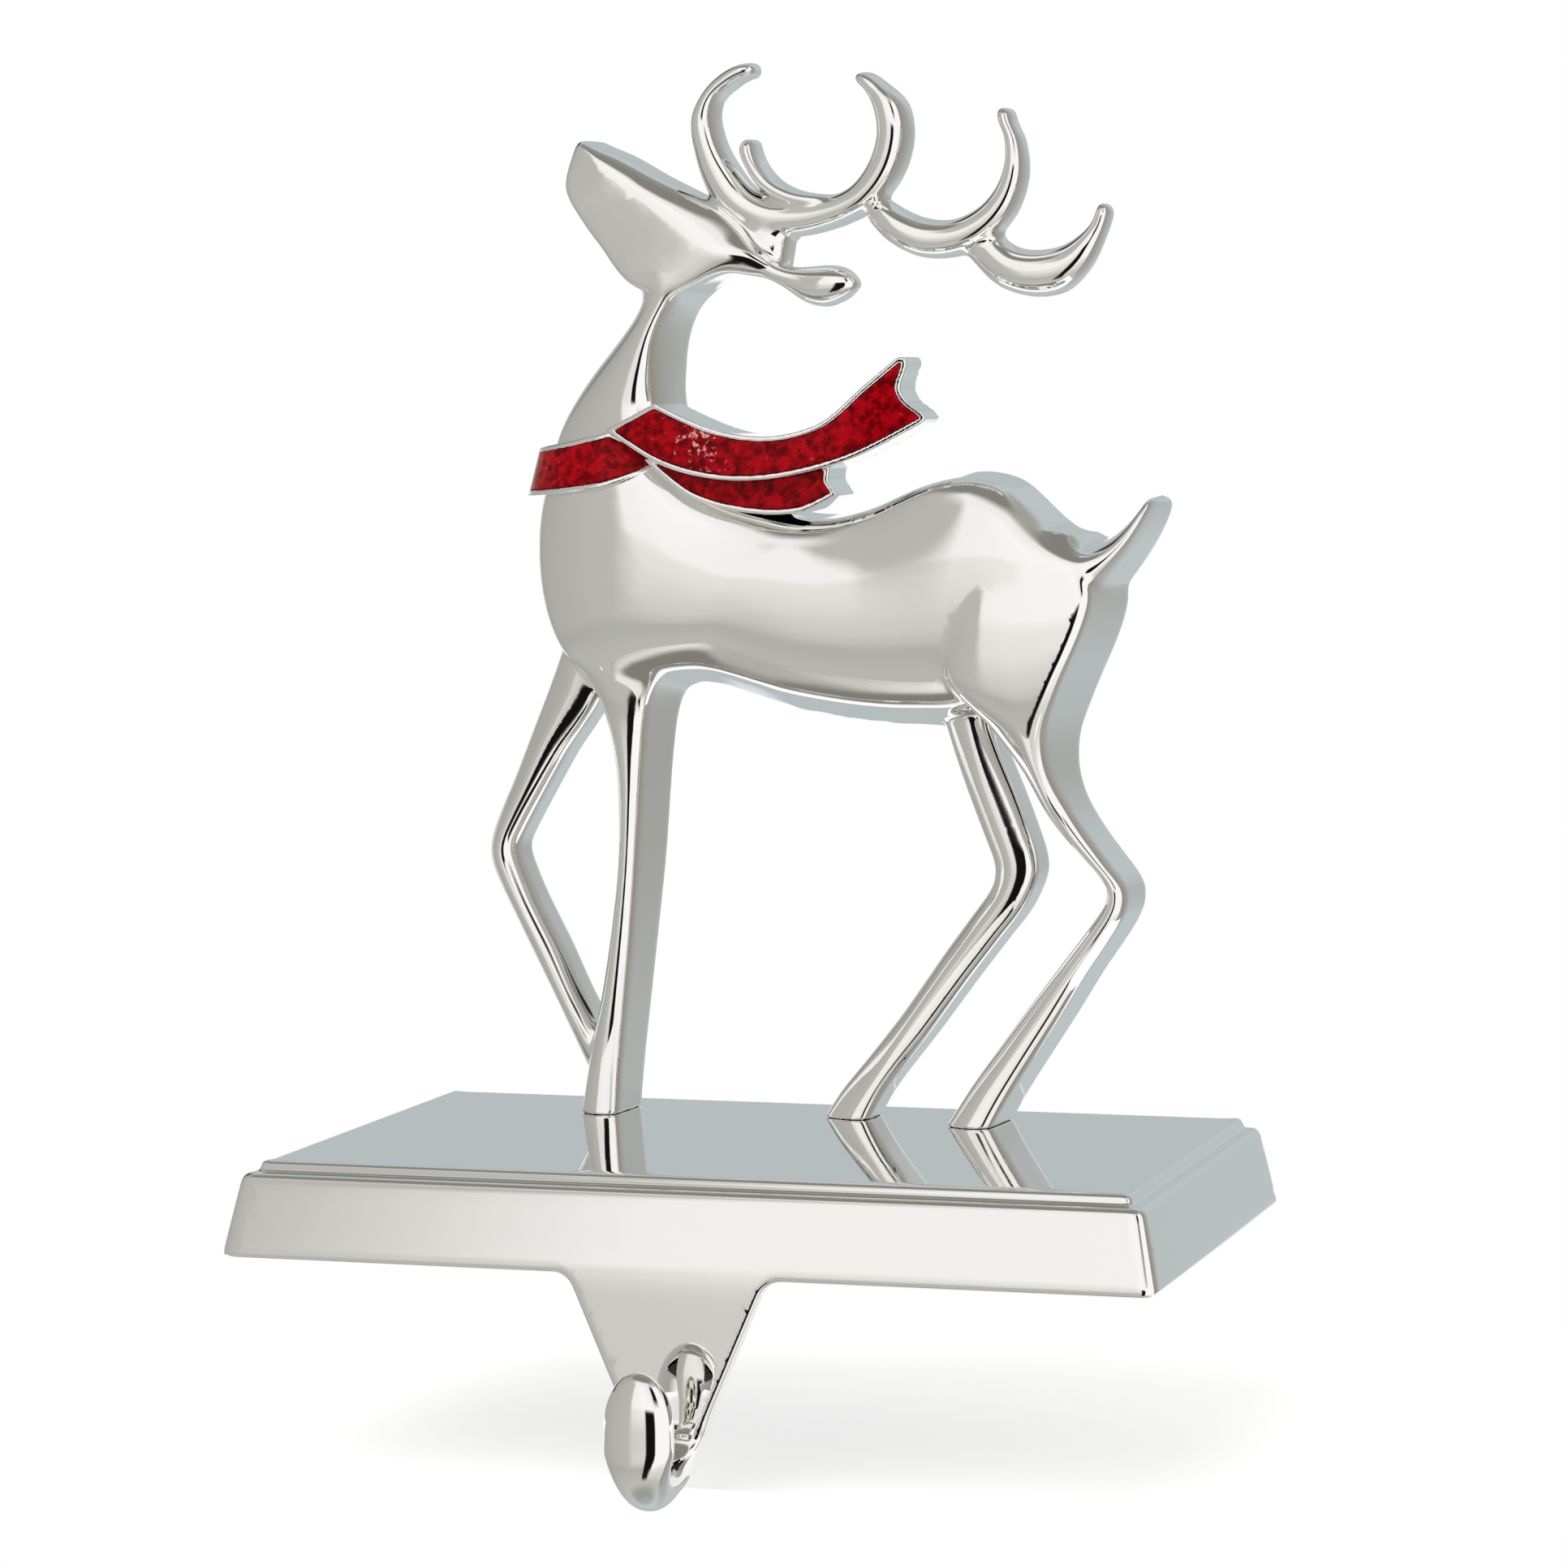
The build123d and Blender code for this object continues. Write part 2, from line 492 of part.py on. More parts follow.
lift = Pos(0, 0, PAD_T)
nodes = {
    "base": base,
    "reindeer": reindeer,
    "scarf_collar_enamel": collar_enamel,
    "scarf_long_tail_enamel": long_enamel,
    "scarf_short_tail_enamel": short_enamel,
    "foot_screws": screws,
    "non_slip_pad": pad,
}
for name, shape in nodes.items():
    export_step(lift * shape, f"parts/{name}.step")
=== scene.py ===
"""Mantel stocking holder: a plated reindeer casting with an enamelled scarf on a stepped base.

The castings are worked out as distance fields, so that walls, crowns, blends and edges have the soft radii
of polished die castings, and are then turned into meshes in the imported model's frame.
"""

import logging
import math
from dataclasses import dataclass
from enum import Enum, IntEnum

import bpy
import numpy as np
import openvdb
from bpy.types import Material, Node, NodeSocket, NodeTree, Object
from mathutils import Matrix, Vector

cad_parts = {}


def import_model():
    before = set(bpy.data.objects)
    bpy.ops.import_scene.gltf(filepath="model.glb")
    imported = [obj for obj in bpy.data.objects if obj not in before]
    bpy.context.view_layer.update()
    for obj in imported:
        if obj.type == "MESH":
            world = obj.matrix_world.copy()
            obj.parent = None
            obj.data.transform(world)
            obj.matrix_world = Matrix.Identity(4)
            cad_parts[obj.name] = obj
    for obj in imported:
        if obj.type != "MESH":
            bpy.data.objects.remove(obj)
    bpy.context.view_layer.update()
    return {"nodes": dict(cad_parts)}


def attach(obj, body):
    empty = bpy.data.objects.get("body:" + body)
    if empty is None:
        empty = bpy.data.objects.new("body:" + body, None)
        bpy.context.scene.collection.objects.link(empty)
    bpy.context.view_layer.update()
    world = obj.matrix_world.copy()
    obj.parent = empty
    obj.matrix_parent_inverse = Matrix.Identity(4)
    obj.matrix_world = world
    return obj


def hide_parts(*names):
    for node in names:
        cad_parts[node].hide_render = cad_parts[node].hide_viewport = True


LOG = logging.getLogger("stocking_holder")
MM = 0.001  # One millimetre in metres
PAD_T = 0.8  # Thickness of the pad below the castings, in mm
OPEN = 4.0  # Field of empty space, in mm
FAR = 99.0  # Place across a limb of a point that it does not reach
TINY = 1e-6  # Keeps divisions away from zero
ROOT = "root"
Points = tuple[np.ndarray, np.ndarray, np.ndarray]
Span = tuple[float, float]
Stops = tuple[tuple[float, str], ...]


def linear(hex_colour: str) -> tuple[float, float, float, float]:
    """Turn an sRGB hex colour into linear RGBA.

    Args:
        hex_colour: Six hex digits, such as "C0C0BC".

    Returns:
        The linear colour, with an alpha of 1.
    """
    values = []
    for start in (0, 2, 4):
        share = int(hex_colour[start:start + 2], 16) / 255
        values.append(share / 12.92 if share <= 0.04045 else ((share + 0.055) / 1.055) ** 2.4)
    return (values[0], values[1], values[2], 1.0)


def add_node(tree: NodeTree, kind: str, settings: dict | None = None, links: dict | None = None,
             **values: object) -> Node:
    """Add a node with its settings, its socket values and its links.

    Args:
        tree: The node tree that takes the node.
        kind: Blender's name for the node's type.
        settings: Attributes to set on the node itself.
        links: Input socket name or index to the output socket that feeds it.
        values: Input socket name, with underscores for blanks, to its value.

    Returns:
        The new node.
    """
    node = tree.nodes.new(kind)
    for name, value in (settings or {}).items():
        setattr(node, name, value)
    for name, value in values.items():
        node.inputs[name.replace("_", " ")].default_value = value
    for name, socket in (links or {}).items():
        tree.links.new(socket, node.inputs[name])
    return node


def rounded_join(a: np.ndarray, b: np.ndarray, radius: float) -> np.ndarray:
    """Join two distance fields, with a hollow fillet where they meet.

    Args:
        a: First field, negative inside.
        b: Second field, negative inside.
        radius: Radius of the fillet in mm.

    Returns:
        The field of the union.
    """
    corner = np.hypot(np.maximum(radius - a, 0), np.maximum(radius - b, 0))
    return np.maximum(np.minimum(a, b), radius) - corner


def rounded_cut(a: np.ndarray, b: np.ndarray, radius: float) -> np.ndarray:
    """Keep what lies in both distance fields, with a round edge where they meet.

    Args:
        a: First field, negative inside.
        b: Second field, negative inside.
        radius: Radius of the edge in mm.

    Returns:
        The field of the intersection.
    """
    return -rounded_join(-a, -b, radius)


@dataclass
class Lattice:
    """A box of evenly spaced points, in mm, on which a casting's distance field is worked out."""

    low: tuple[float, float, float]
    high: tuple[float, float, float]
    pitch: float
    band_points: int = 4

    def axis(self, k: int) -> np.ndarray:
        """Points along axis k."""
        count = int(math.ceil((self.high[k] - self.low[k]) / self.pitch)) + 1
        return (self.low[k] + self.pitch * np.arange(count)).astype(np.float32)

    def grid(self) -> Points:
        """Points along X, Y and Z, shaped so that they combine into the whole box."""
        return self.axis(0)[:, None, None], self.axis(1)[None, :, None], self.axis(2)[None, None, :]

    def sample(self, values: np.ndarray, points: np.ndarray) -> np.ndarray:
        """Read a field between its points.

        Args:
            values: The field on the lattice.
            points: Places in units of the lattice, one row each.

        Returns:
            The field at each place.
        """
        top = np.array(values.shape) - 2
        cell = np.clip(np.floor(points).astype(int), 0, top)
        part = np.clip(points - cell, 0, 1)
        total = np.zeros(len(points))
        for corner in np.ndindex(2, 2, 2):
            weight = np.prod(np.where(corner, part, 1 - part), axis=1)
            index = cell + corner
            total += weight * values[index[:, 0], index[:, 1], index[:, 2]]
        return total

    def normals(self, values: np.ndarray, points: np.ndarray, reach: float) -> np.ndarray:
        """Outward directions of a field.

        Args:
            values: The field on the lattice.
            points: Places in units of the lattice.
            reach: How far to look each way, in units of the lattice.

        Returns:
            One unit vector for each place.
        """
        slopes = []
        for k in range(3):
            step = np.zeros(3)
            step[k] = reach
            slopes.append(self.sample(values, points + step) - self.sample(values, points - step))
        rows = np.stack(slopes, axis=1)
        return rows / np.maximum(np.linalg.norm(rows, axis=1, keepdims=True), TINY)

    def mesh(self, name: str, values: np.ndarray, merge: float, reach: float = 0.6) -> Object:
        """Make the zero surface of a field into an object.

        Args:
            name: Name of the object.
            values: The field on the lattice, negative inside.
            merge: How far flat stretches are merged into larger faces, from 0 to 1.
            reach: How far the normals look each way, in units of the lattice.

        Returns:
            The object, in metres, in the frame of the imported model.
        """
        band = self.band_points * self.pitch
        tree = openvdb.FloatGrid(band)
        tree.copyFromArray(np.clip(values, -band, band).astype(np.float32))
        points, triangles, quads = tree.convertToPolygons(isovalue=0.0, adaptivity=merge)
        faces = [tuple(int(v) for v in row) for row in (*triangles, *quads)]
        places = (points * self.pitch + np.array(self.low) + np.array((0, 0, PAD_T))) * MM
        mesh = bpy.data.meshes.new(name)
        mesh.from_pydata(places.tolist(), [], faces)
        mesh.validate()
        mesh.polygons.foreach_set("use_smooth", np.ones(len(mesh.polygons), bool))
        mesh.normals_split_custom_set_from_vertices(self.normals(values, points, reach).tolist())
        made = bpy.data.objects.new(name, mesh)
        bpy.context.scene.collection.objects.link(made)
        return made


def softened(values: np.ndarray, passes: int) -> np.ndarray:
    """Round off a field's kinks with a 1-2-1 filter along each axis.

    Args:
        values: The field.
        passes: How often the filter runs; each time it rounds by about one point of the lattice.

    Returns:
        The softened field.
    """
    out = values
    spans = (slice(0, -2), slice(1, -1), slice(2, None))
    for k in (0, 1, 2) * passes:
        before, here, after = ((slice(None),) * k + (span,) for span in spans)
        mixed = out.copy()
        mixed[here] = (out[before] + 2 * out[here] + out[after]) / 4
        out = mixed
    return out


def halved(table: np.ndarray, places: np.ndarray) -> np.ndarray:
    """Put a smooth half-way row between each pair of rows.

    Args:
        table: Rows of numbers along a curve.
        places: Where each row stands in the front view, for the spacing.

    Returns:
        About twice as many rows.
    """
    row = np.vstack([2 * table[0] - table[1], table, 2 * table[-1] - table[-2]])
    spots = np.vstack([2 * places[0] - places[1], places, 2 * places[-1] - places[-2]])
    gaps = np.linalg.norm(np.diff(spots, axis=0), axis=1)[:, None]
    slopes = (row[2:] - row[:-2]) / (gaps[1:] + gaps[:-1])
    dense = np.empty((2 * len(table) - 1, table.shape[1]))
    dense[0::2] = table
    dense[1::2] = (table[1:] + table[:-1]) / 2 + gaps[1:-1] / 8 * (slopes[:-1] - slopes[1:])
    return dense


class Column(IntEnum):
    """What each number of a limb's section stands for."""

    AX = 0
    AZ = 1
    BX = 2
    BZ = 3
    SHOULDER = 4
    CROWN = 5
    RIDGE = 6
    PEAK = 7
    DRAFT_B = 8
    ARC = 9


EDGE_A = slice(Column.AX, Column.BX)
EDGE_B = slice(Column.BX, Column.SHOULDER)
EDGE_NUMBERS = int(Column.SHOULDER)


def middle(sections: np.ndarray) -> np.ndarray:
    """Point half-way between the edges of each section."""
    return (sections[..., EDGE_A] + sections[..., EDGE_B]) / 2


def half_width(sections: np.ndarray) -> np.ndarray:
    """Way from the middle of each section to its edge B."""
    return (sections[..., EDGE_B] - sections[..., EDGE_A]) / 2


@dataclass
class Limb:
    """A run of sections across the relief: each has two edges, a shoulder depth and a crowned front.

    A station is (ax, az, bx, bz, shoulder, crown) and may add the ridge's place from -1 to 1, how crisp the
    ridge is from -0.3 (full and round) to 0.3, and the draft of its B wall in degrees. A station of four
    numbers has the rest in common with the one before it.
    """

    stations: list[tuple[float, ...]]
    back: float
    draft_a: float = 4.0
    draft_b: float = 4.0
    edge_a: float = 0.6
    edge_b: float = 0.6
    edge_end: float = 0.3
    blend: float = 0.5
    margin: float = 4.0
    aside: float = 3.0
    halvings: int = 3
    fall: float = 1.0
    fall_power: float = 1.3
    crown_power: float = 2.6
    crisp_power: float = 1.4
    crisp_most: float = 0.3
    ridge_soft: float = 0.0004

    def sections(self) -> np.ndarray:
        """Work out sections close enough together to look smooth.

        Returns:
            One row a section, ending with the length run so far, and one more row past each end.
        """
        rows: list[list[float]] = []
        usual = (0.0, 0.0, self.draft_b)
        for s in self.stations:
            alike = len(s) == EDGE_NUMBERS
            rest = rows[-1][EDGE_NUMBERS:] if alike else [*s[EDGE_NUMBERS:], *usual[len(s) - Column.RIDGE:]]
            rows.append([*s[:EDGE_NUMBERS], *rest])
        table = np.array(rows, float)
        for _ in range(self.halvings):
            table = halved(table, middle(table))
        steps = np.linalg.norm(np.diff(middle(table), axis=0), axis=1)
        table = np.column_stack([table, np.concatenate([[0], np.cumsum(steps)])])
        return np.vstack([self.beyond(table[0], table[1]), table, self.beyond(table[-1], table[-2])])

    def beyond(self, last: np.ndarray, inner: np.ndarray) -> np.ndarray:
        """Section past an end, moved straight on by the margin.

        Args:
            last: The end section.
            inner: Its neighbour inside the limb.

        Returns:
            The moved section.
        """
        run = middle(last) - middle(inner)
        step = run / max(float(np.linalg.norm(run)), TINY) * self.margin
        moved = last.copy()
        moved[EDGE_A] += step
        moved[EDGE_B] += step
        moved[Column.ARC] += math.copysign(self.margin, last[Column.ARC] - inner[Column.ARC])
        return moved

    def spread(self, xs: np.ndarray, zs: np.ndarray) -> tuple[np.ndarray, np.ndarray]:
        """Find for each point of the front view where it lies across and along the limb.

        Args:
            xs: Points along X.
            zs: Points along Z.

        Returns:
            The place across (-1 at edge A, 1 at edge B, large outside), and the section there.
        """
        across = np.full((len(xs), len(zs)), FAR)
        found = np.zeros((len(xs), len(zs), len(Column)))
        table = self.sections()
        for p, q in zip(table, table[1:]):
            ends = []
            for s in (p, q):
                half = half_width(s)
                reach = half * (1 + self.margin / np.linalg.norm(half))
                ends += [middle(s) - reach, middle(s) + reach]
            low, high = np.min(ends, axis=0), np.max(ends, axis=0)
            i = slice(*np.searchsorted(xs, (low[0], high[0])))
            k = slice(*np.searchsorted(zs, (low[1], high[1])))
            if i.start < i.stop and k.start < k.stop:
                self.fill(p, q, xs[i][:, None], zs[k][None, :], across[i, k], found[i, k])
        return across, found

    def fill(self, p: np.ndarray, q: np.ndarray, x: np.ndarray, z: np.ndarray, across: np.ndarray,
             found: np.ndarray) -> None:
        """Write the points that lie between two sections.

        Args:
            p: First section.
            q: Second section.
            x: Points along X near the sections.
            z: Points along Z near the sections.
            across: Places across so far, changed where a point lies nearer the middle.
            found: Sections so far, changed with them.
        """
        sides = []
        for s in (p, q):
            run = half_width(s) / np.linalg.norm(half_width(s))
            sides.append(run[0] * (z - middle(s)[1]) - run[1] * (x - middle(s)[0]))
        run, ahead = half_width(p), middle(q) - middle(p)
        sign = math.copysign(1.0, run[0] * ahead[1] - run[1] * ahead[0])
        first, second = sides[0] * sign, sides[1] * sign
        inside = (first >= 0) & (second <= 0)
        if not inside.any():
            return
        share = np.where(inside, first / np.maximum(first - second, TINY), 0)[..., None]
        here = p + share * (q - p)
        half_x, half_z = np.moveaxis(half_width(here), -1, 0)
        mid_x, mid_z = np.moveaxis(middle(here), -1, 0)
        place = ((x - mid_x) * half_x + (z - mid_z) * half_z) / (half_x ** 2 + half_z ** 2)
        better = inside & (np.abs(place) < np.abs(across))
        across[better] = place[better]
        found[better] = here[better]

    def field(self, lattice: Lattice) -> tuple[tuple[slice, slice, slice], np.ndarray]:
        """Distance field of the limb.

        Args:
            lattice: The whole casting's lattice.

        Returns:
            The part of the lattice that the limb reaches, and its field there.
        """
        xs, ys, zs = lattice.axis(0), lattice.axis(1), lattice.axis(2)
        across, found = self.spread(xs, zs)
        reached = across < FAR
        i = np.flatnonzero(reached.any(axis=1))
        k = np.flatnonzero(reached.any(axis=0))
        part = (slice(i[0], i[-1] + 1), slice(0, len(ys)), slice(k[0], k[-1] + 1))
        s = across[part[0], part[2]]
        here = found[part[0], part[2]]
        outside = s >= FAR
        s = np.where(outside, self.aside, s)
        half = np.where(outside, self.margin, np.hypot(*np.moveaxis(half_width(here), -1, 0)))
        shoulder = here[..., Column.SHOULDER]
        front = shoulder - here[..., Column.CROWN] * self.profile(s, here)
        slope = np.gradient(front, lattice.pitch)
        steep = 1 / np.sqrt(1 + slope[0] ** 2 + slope[1] ** 2)
        y = ys[None, :, None]
        solid = (front[:, None, :] - y) * steep[:, None, :]
        drafts = (np.full_like(s, self.draft_a), here[..., Column.DRAFT_B])
        edges = (self.edge_a, self.edge_b)
        for gap, draft, edge in zip(((-1 - s) * half, (s - 1) * half), drafts, edges):
            tangent = np.tan(np.radians(draft))
            lean = gap[:, None, :] - (y - shoulder[:, None, :]) * tangent[:, None, :]
            solid = rounded_cut(solid, lean * np.cos(np.radians(draft))[:, None, :], edge)
        arc = here[..., Column.ARC]
        total = self.sections()[-2, Column.ARC]
        ends = np.where(outside, self.margin, np.maximum(-arc, arc - total))
        solid = rounded_cut(solid, np.broadcast_to(ends[:, None, :], solid.shape), self.edge_end)
        solid = np.maximum(solid, y - self.back)
        return part, np.where(outside[:, None, :], self.margin, solid)

    def profile(self, s: np.ndarray, here: np.ndarray) -> np.ndarray:
        """Height of the crowned front across a limb, 1 on the ridge, 0 at edge A, 1 less the fall at B.

        Args:
            s: Place across, -1 to 1.
            here: The section at each point.

        Returns:
            The share of the crown's height.
        """
        ridge = here[..., Column.RIDGE]
        crisp = np.clip(here[..., Column.PEAK] / self.crisp_most, -1, 1)
        power = self.crown_power - self.crisp_power * crisp
        if self.fall < 1:
            power = np.where(s < ridge, power, self.fall_power)
        side = np.where(s < ridge, (ridge - s) / (1 + ridge), (s - ridge) / (1 - ridge))
        return 1 - np.where(s < ridge, 1.0, self.fall) * np.sqrt(side ** 2 + self.ridge_soft) ** power


@dataclass
class Reindeer:
    """The standing reindeer: one relief casting with a flat back."""

    foot_z: float = 12.9
    back: float = 28.0
    antler_back: float = 24.8
    head_back: float = 26.0
    nose_back: float = 21.4
    foot_edge: float = 0.1
    pitch: float = 0.3
    soften: int = 4
    merge: float = 0.007
    reach: float = 1.2
    low: tuple[float, float, float] = (-52.0, 6.0, 10.5)
    high: tuple[float, float, float] = (55.0, 30.0, 166.0)

    def limbs(self) -> list[Limb]:
        """All limbs, from the trunk outwards."""
        return [self.trunk(), self.head(), self.muzzle(), *self.antlers(), self.hind_near(),
                self.hind_far(), self.front_near(), self.front_far()]

    def trunk(self) -> Limb:
        """Neck, chest, back, rump and tail in one sweep."""
        return Limb([
            (-13, 133, -24.5, 133.5, 18, 3.5), (-17, 129.5, -23.3, 129.8, 18, 3.5, -0.35, 0.08),
            (-19.2, 125, -25.8, 125.3, 18, 3.8, -0.35, 0.08), (-19.9, 120, -30, 120, 18, 4, -0.35, 0.08),
            (-19.9, 115.5, -33.3, 115.2, 17.8, 4, -0.35, 0.08),
            (-18.7, 111, -35.6, 110.5, 17.4, 4.2, -0.35, 0.08), (-17, 107.5, -37, 104.5, 16.4, 4.4),
            (-14.5, 104.5, -37.9, 98, 15.2, 4.4), (-11.5, 102, -37.3, 88.5, 14.4, 4.4),
            (-8, 100.4, -33.5, 79.5, 14, 4.2), (-4, 99.4, -24, 76.8, 14, 4), (1, 98.6, -13, 77.5),
            (6, 98.8, -2, 74.6), (12, 100.4, 9, 72.9), (18, 103, 18.5, 72.6, 13.8, 4),
            (24.5, 104.5, 26.5, 73.5, 13.8, 4.2), (31, 103.2, 33, 78, 14.2, 4.4),
            (36.5, 98.4, 38, 84, 14.8, 4.4, 0, 0, 12), (40.2, 95.8, 41.8, 86.4, 15, 4, 0, 0, 8),
            (43.2, 95.3, 45.2, 90.2, 15.2, 3.4, 0.1, 0.1, 5), (46.4, 97, 48.3, 94.2, 15.6, 2.8, 0.2, 0.2, 4),
            (49, 99.8, 50.5, 98, 16, 2.2, 0.2, 0.2, 4), (50.3, 101.6, 51.6, 100.8, 16.4, 1.6, 0, 0.1, 4),
            (50.7, 102.1, 51.7, 101.7, 16.6, 1, 0, 0, 4),
        ], self.back, draft_b=15.0, edge_a=1.4, edge_b=1.0)

    def head(self) -> Limb:
        """Ear, crown of the head and brow, with a soft crease below the upper edge."""
        return Limb([
            (-31.4, 152.8, -32.6, 152.1, 17.6, 0.8, -0.3, 0.16),
            (-30.2, 152.2, -32.9, 150.6, 17.6, 1.8, -0.3, 0.16),
            (-26, 150.4, -33.8, 146, 17.6, 2.8, -0.35, 0.16),
            (-21, 147.6, -31.8, 141.8, 17.6, 3, -0.35, 0.16),
            (-16, 145.1, -28.2, 137, 17.6, 3.2, -0.35, 0.16), (-11.5, 142.6, -24, 132, 17.6, 3.4, -0.3, 0.16),
            (-8.2, 139.8, -17.5, 130.5, 17.6, 3.4, -0.2, 0.16), (-5.6, 137.2, -10.5, 133.4, 17.8, 2.8),
            (-3.6, 135.3, -6, 133, 18.4, 2),
        ], self.head_back, draft_a=1.0, draft_b=1.0, edge_a=0.9, edge_b=0.9, fall=0.1)

    def muzzle(self) -> Limb:
        """Narrow bridge and round nose."""
        return Limb([
            (-5.6, 137, -8.8, 133.6, 18.2, 2.4), (-3.3, 135.2, -5, 132.6, 18.4, 2),
            (-0.8, 134.4, -2.2, 131.2, 18.6, 2.2), (2, 134.5, 0.8, 129.2, 18.8, 2.6),
            (4.6, 134.6, 4, 128.6, 18.8, 2.8), (6.6, 134.2, 6.6, 129.5, 18.8, 2.4),
            (8, 133.3, 8, 130.4, 18.8, 1.8), (8.8, 132.3, 8.8, 131.3, 18.8, 0.8),
        ], self.nose_back, draft_a=1.0, draft_b=1.0)

    def antlers(self) -> list[Limb]:
        """The main antler with its tine, the branch, the twig and the web to the brow.

        Returns:
            The five limbs.
        """
        main = [
            (-6.9, 163.4, -6.7, 161.1, 20.8, 1.5), (-9, 163.3, -8.2, 160.9, 20.8, 1.9),
            (-11.6, 162.2, -10, 159.9, 20.8, 2.1), (-14.5, 159.6, -12.2, 158, 20.8, 2.3),
            (-16.6, 155.5, -12.7, 155.3, 20.8, 2.5), (-16.2, 151, -11.6, 151.5, 20.8, 2.7),
            (-14.8, 146.3, -9.5, 148), (-12, 142.3, -7.2, 145.3), (-7.5, 139.4, -4, 143.9),
            (-2, 138.5, -0.8, 143.8), (4, 139.6, 3, 144.2), (10, 142.3, 7, 145.8), (14, 146.8, 9.6, 149.2),
            (15.7, 152.5, 10.6, 152.8), (14.8, 157.3, 10.3, 155.8, 20.8, 2.5),
            (12, 160, 9.4, 158.2, 20.8, 1.9), (9.9, 161.5, 8.4, 159.4, 20.8, 1.7),
            (8.4, 162, 7.2, 160.3, 20.8, 1.1),
        ]
        tine = [
            (-9.2, 152.2, -6.9, 152.8, 20.3, 1.1), (-9.4, 150.8, -6.8, 151.4, 20.2, 1.5),
            (-8.4, 148.5, -5.8, 149, 20.1, 1.9), (-6.4, 145.6, -3.6, 146.6, 20, 2.1),
            (-3, 143.4, -0.6, 145.2), (1, 142.6, 2.4, 144.7, 20.1, 1.9), (4.5, 143.2, 5, 144.4, 20.3, 0.8),
        ]
        branch = [
            (8.8, 141.2, 12.2, 143.8, 21.4, 2.1), (12, 137.8, 14.5, 142.3, 21.2, 2.7),
            (17, 135.4, 18, 141, 21.2, 2.9), (22.5, 135.6, 22, 141), (27.5, 138, 25.7, 142.8, 21.2, 2.7),
            (30.8, 141.8, 28, 145.5, 21.2, 2.5), (32.4, 147, 29.1, 148.7, 21.2, 2.3),
            (31.9, 151.8, 29, 152.2, 21.2, 1.9), (30.7, 154.4, 28.1, 154.4, 21.2, 1.7),
            (30.3, 156.4, 27.9, 156.2, 21.2, 1.3),
        ]
        twig = [
            (22, 137.4, 27, 140.2, 22.2, 1.9), (24.6, 134.4, 28.8, 138.2, 21.9, 2.3),
            (28, 131.3, 31, 136.8, 21.8, 2.7), (33, 129.8, 34, 136.5, 21.8, 2.9),
            (38, 130.6, 37.3, 137.1, 21.8, 2.7), (41.5, 134, 39.9, 138.7, 21.8, 2.3),
            (43.4, 138, 41.4, 140.2, 21.8, 1.7), (44.3, 140.5, 42, 141.5, 21.6, 1.5),
            (44.6, 142.4, 42.5, 143.2, 21.6, 1.1),
        ]
        web = [
            (-9.6, 141.6, -2, 141.6, 20, 1.2), (-9.2, 137.5, -2.2, 136.8, 19.2, 1.2),
            (-9.4, 133.6, -3, 133, 19.4, 1.2),
        ]
        edges = {"edge_a": 0.8, "edge_b": 0.8, "edge_end": 1.0}
        horns = [Limb(rows, self.antler_back, draft_a=1.0, draft_b=1.0, **edges)
                 for rows in (main, tine, branch, twig)]
        return [*horns, Limb(web, self.antler_back, **edges)]

    def hind_near(self) -> Limb:
        """Near hind leg: the leaf-shaped thigh with its ridge, the hock and the hoof."""
        return Limb([
            (33, 98, 40.5, 97, 15.2, 1.6, -0.5, 0, 7), (29.8, 92.4, 43.4, 91, 12.2, 1.8, -0.7, -0.2, 7),
            (26.2, 88.6, 43.8, 87.2, 11.3, 1.9, -0.5, -0.25, 7),
            (23.7, 83.4, 42.2, 82, 10.7, 2, -0.2, -0.25, 7), (23, 78.4, 40.2, 77.4, 10.6, 2.1, 0, -0.25, 7),
            (24.6, 74.6, 38.4, 73, 11, 2.1, 0.15, -0.25, 7), (29, 70, 37.1, 68.6, 12.4, 2.1, 0.3, 0.2, 7),
            (33.2, 63.6, 37.4, 63.2, 15, 2, 0.2, 0.3, 7), (36, 57.6, 39.4, 58.4, 17.2, 1.8, 0, 0.3, 6),
            (39.4, 53.2, 42.6, 53.8, 17.5, 1.8, -0.1, 0.3, 5), (42.3, 50.2, 45.3, 50.4),
            (44.3, 47.6, 47.5, 47.4, 17.5, 1.8, -0.1, 0.3, 4),
            (44.4, 45.4, 47.5, 44.2, 17.5, 1.9, -0.1, 0.3, 4),
            (42.6, 42.4, 45.6, 40.6, 17.5, 2, -0.1, 0.3, 4), (39, 37.6, 42.2, 35.6), (34.2, 31.2, 38, 28.8),
            (29.4, 24.6, 33.6, 22), (24.9, 18.3, 29.5, 15.4, 17.4, 1.8, -0.1, 0.3, 4),
            (19.6, 9.6, 24.8, 6.2, 17, 1.4, -0.1, 0.3, 4),
        ], self.back, edge_a=0.8, edge_b=1.5, fall=0.38)

    def hind_far(self) -> Limb:
        """Far hind leg."""
        return Limb([
            (18, 78, 26, 79, 22, 2.4, 0, 0.2), (20.7, 68.2, 27, 69.4, 22, 2.4, 0.1, 0.3),
            (23.4, 60.2, 30, 61.6, 22, 2.4, -0.1, 0.3), (26.2, 53, 33, 53.8), (27.4, 49.4, 34, 49),
            (26.8, 46.4, 32, 44), (24.6, 43.2, 29, 40), (20, 37, 24.2, 33.8), (13.8, 28.2, 17.8, 25.2),
            (8.2, 21, 12.2, 18, 22, 2.2, 0.2, 0.3), (4.5, 16.4, 9.2, 13, 22, 1.8, 0.2, 0.3),
            (0.6, 10, 6.2, 5.8, 22, 1.2, 0.2, 0.3),
        ], self.back, edge_a=0.8, edge_b=1.1, blend=0.3, fall=0.42)

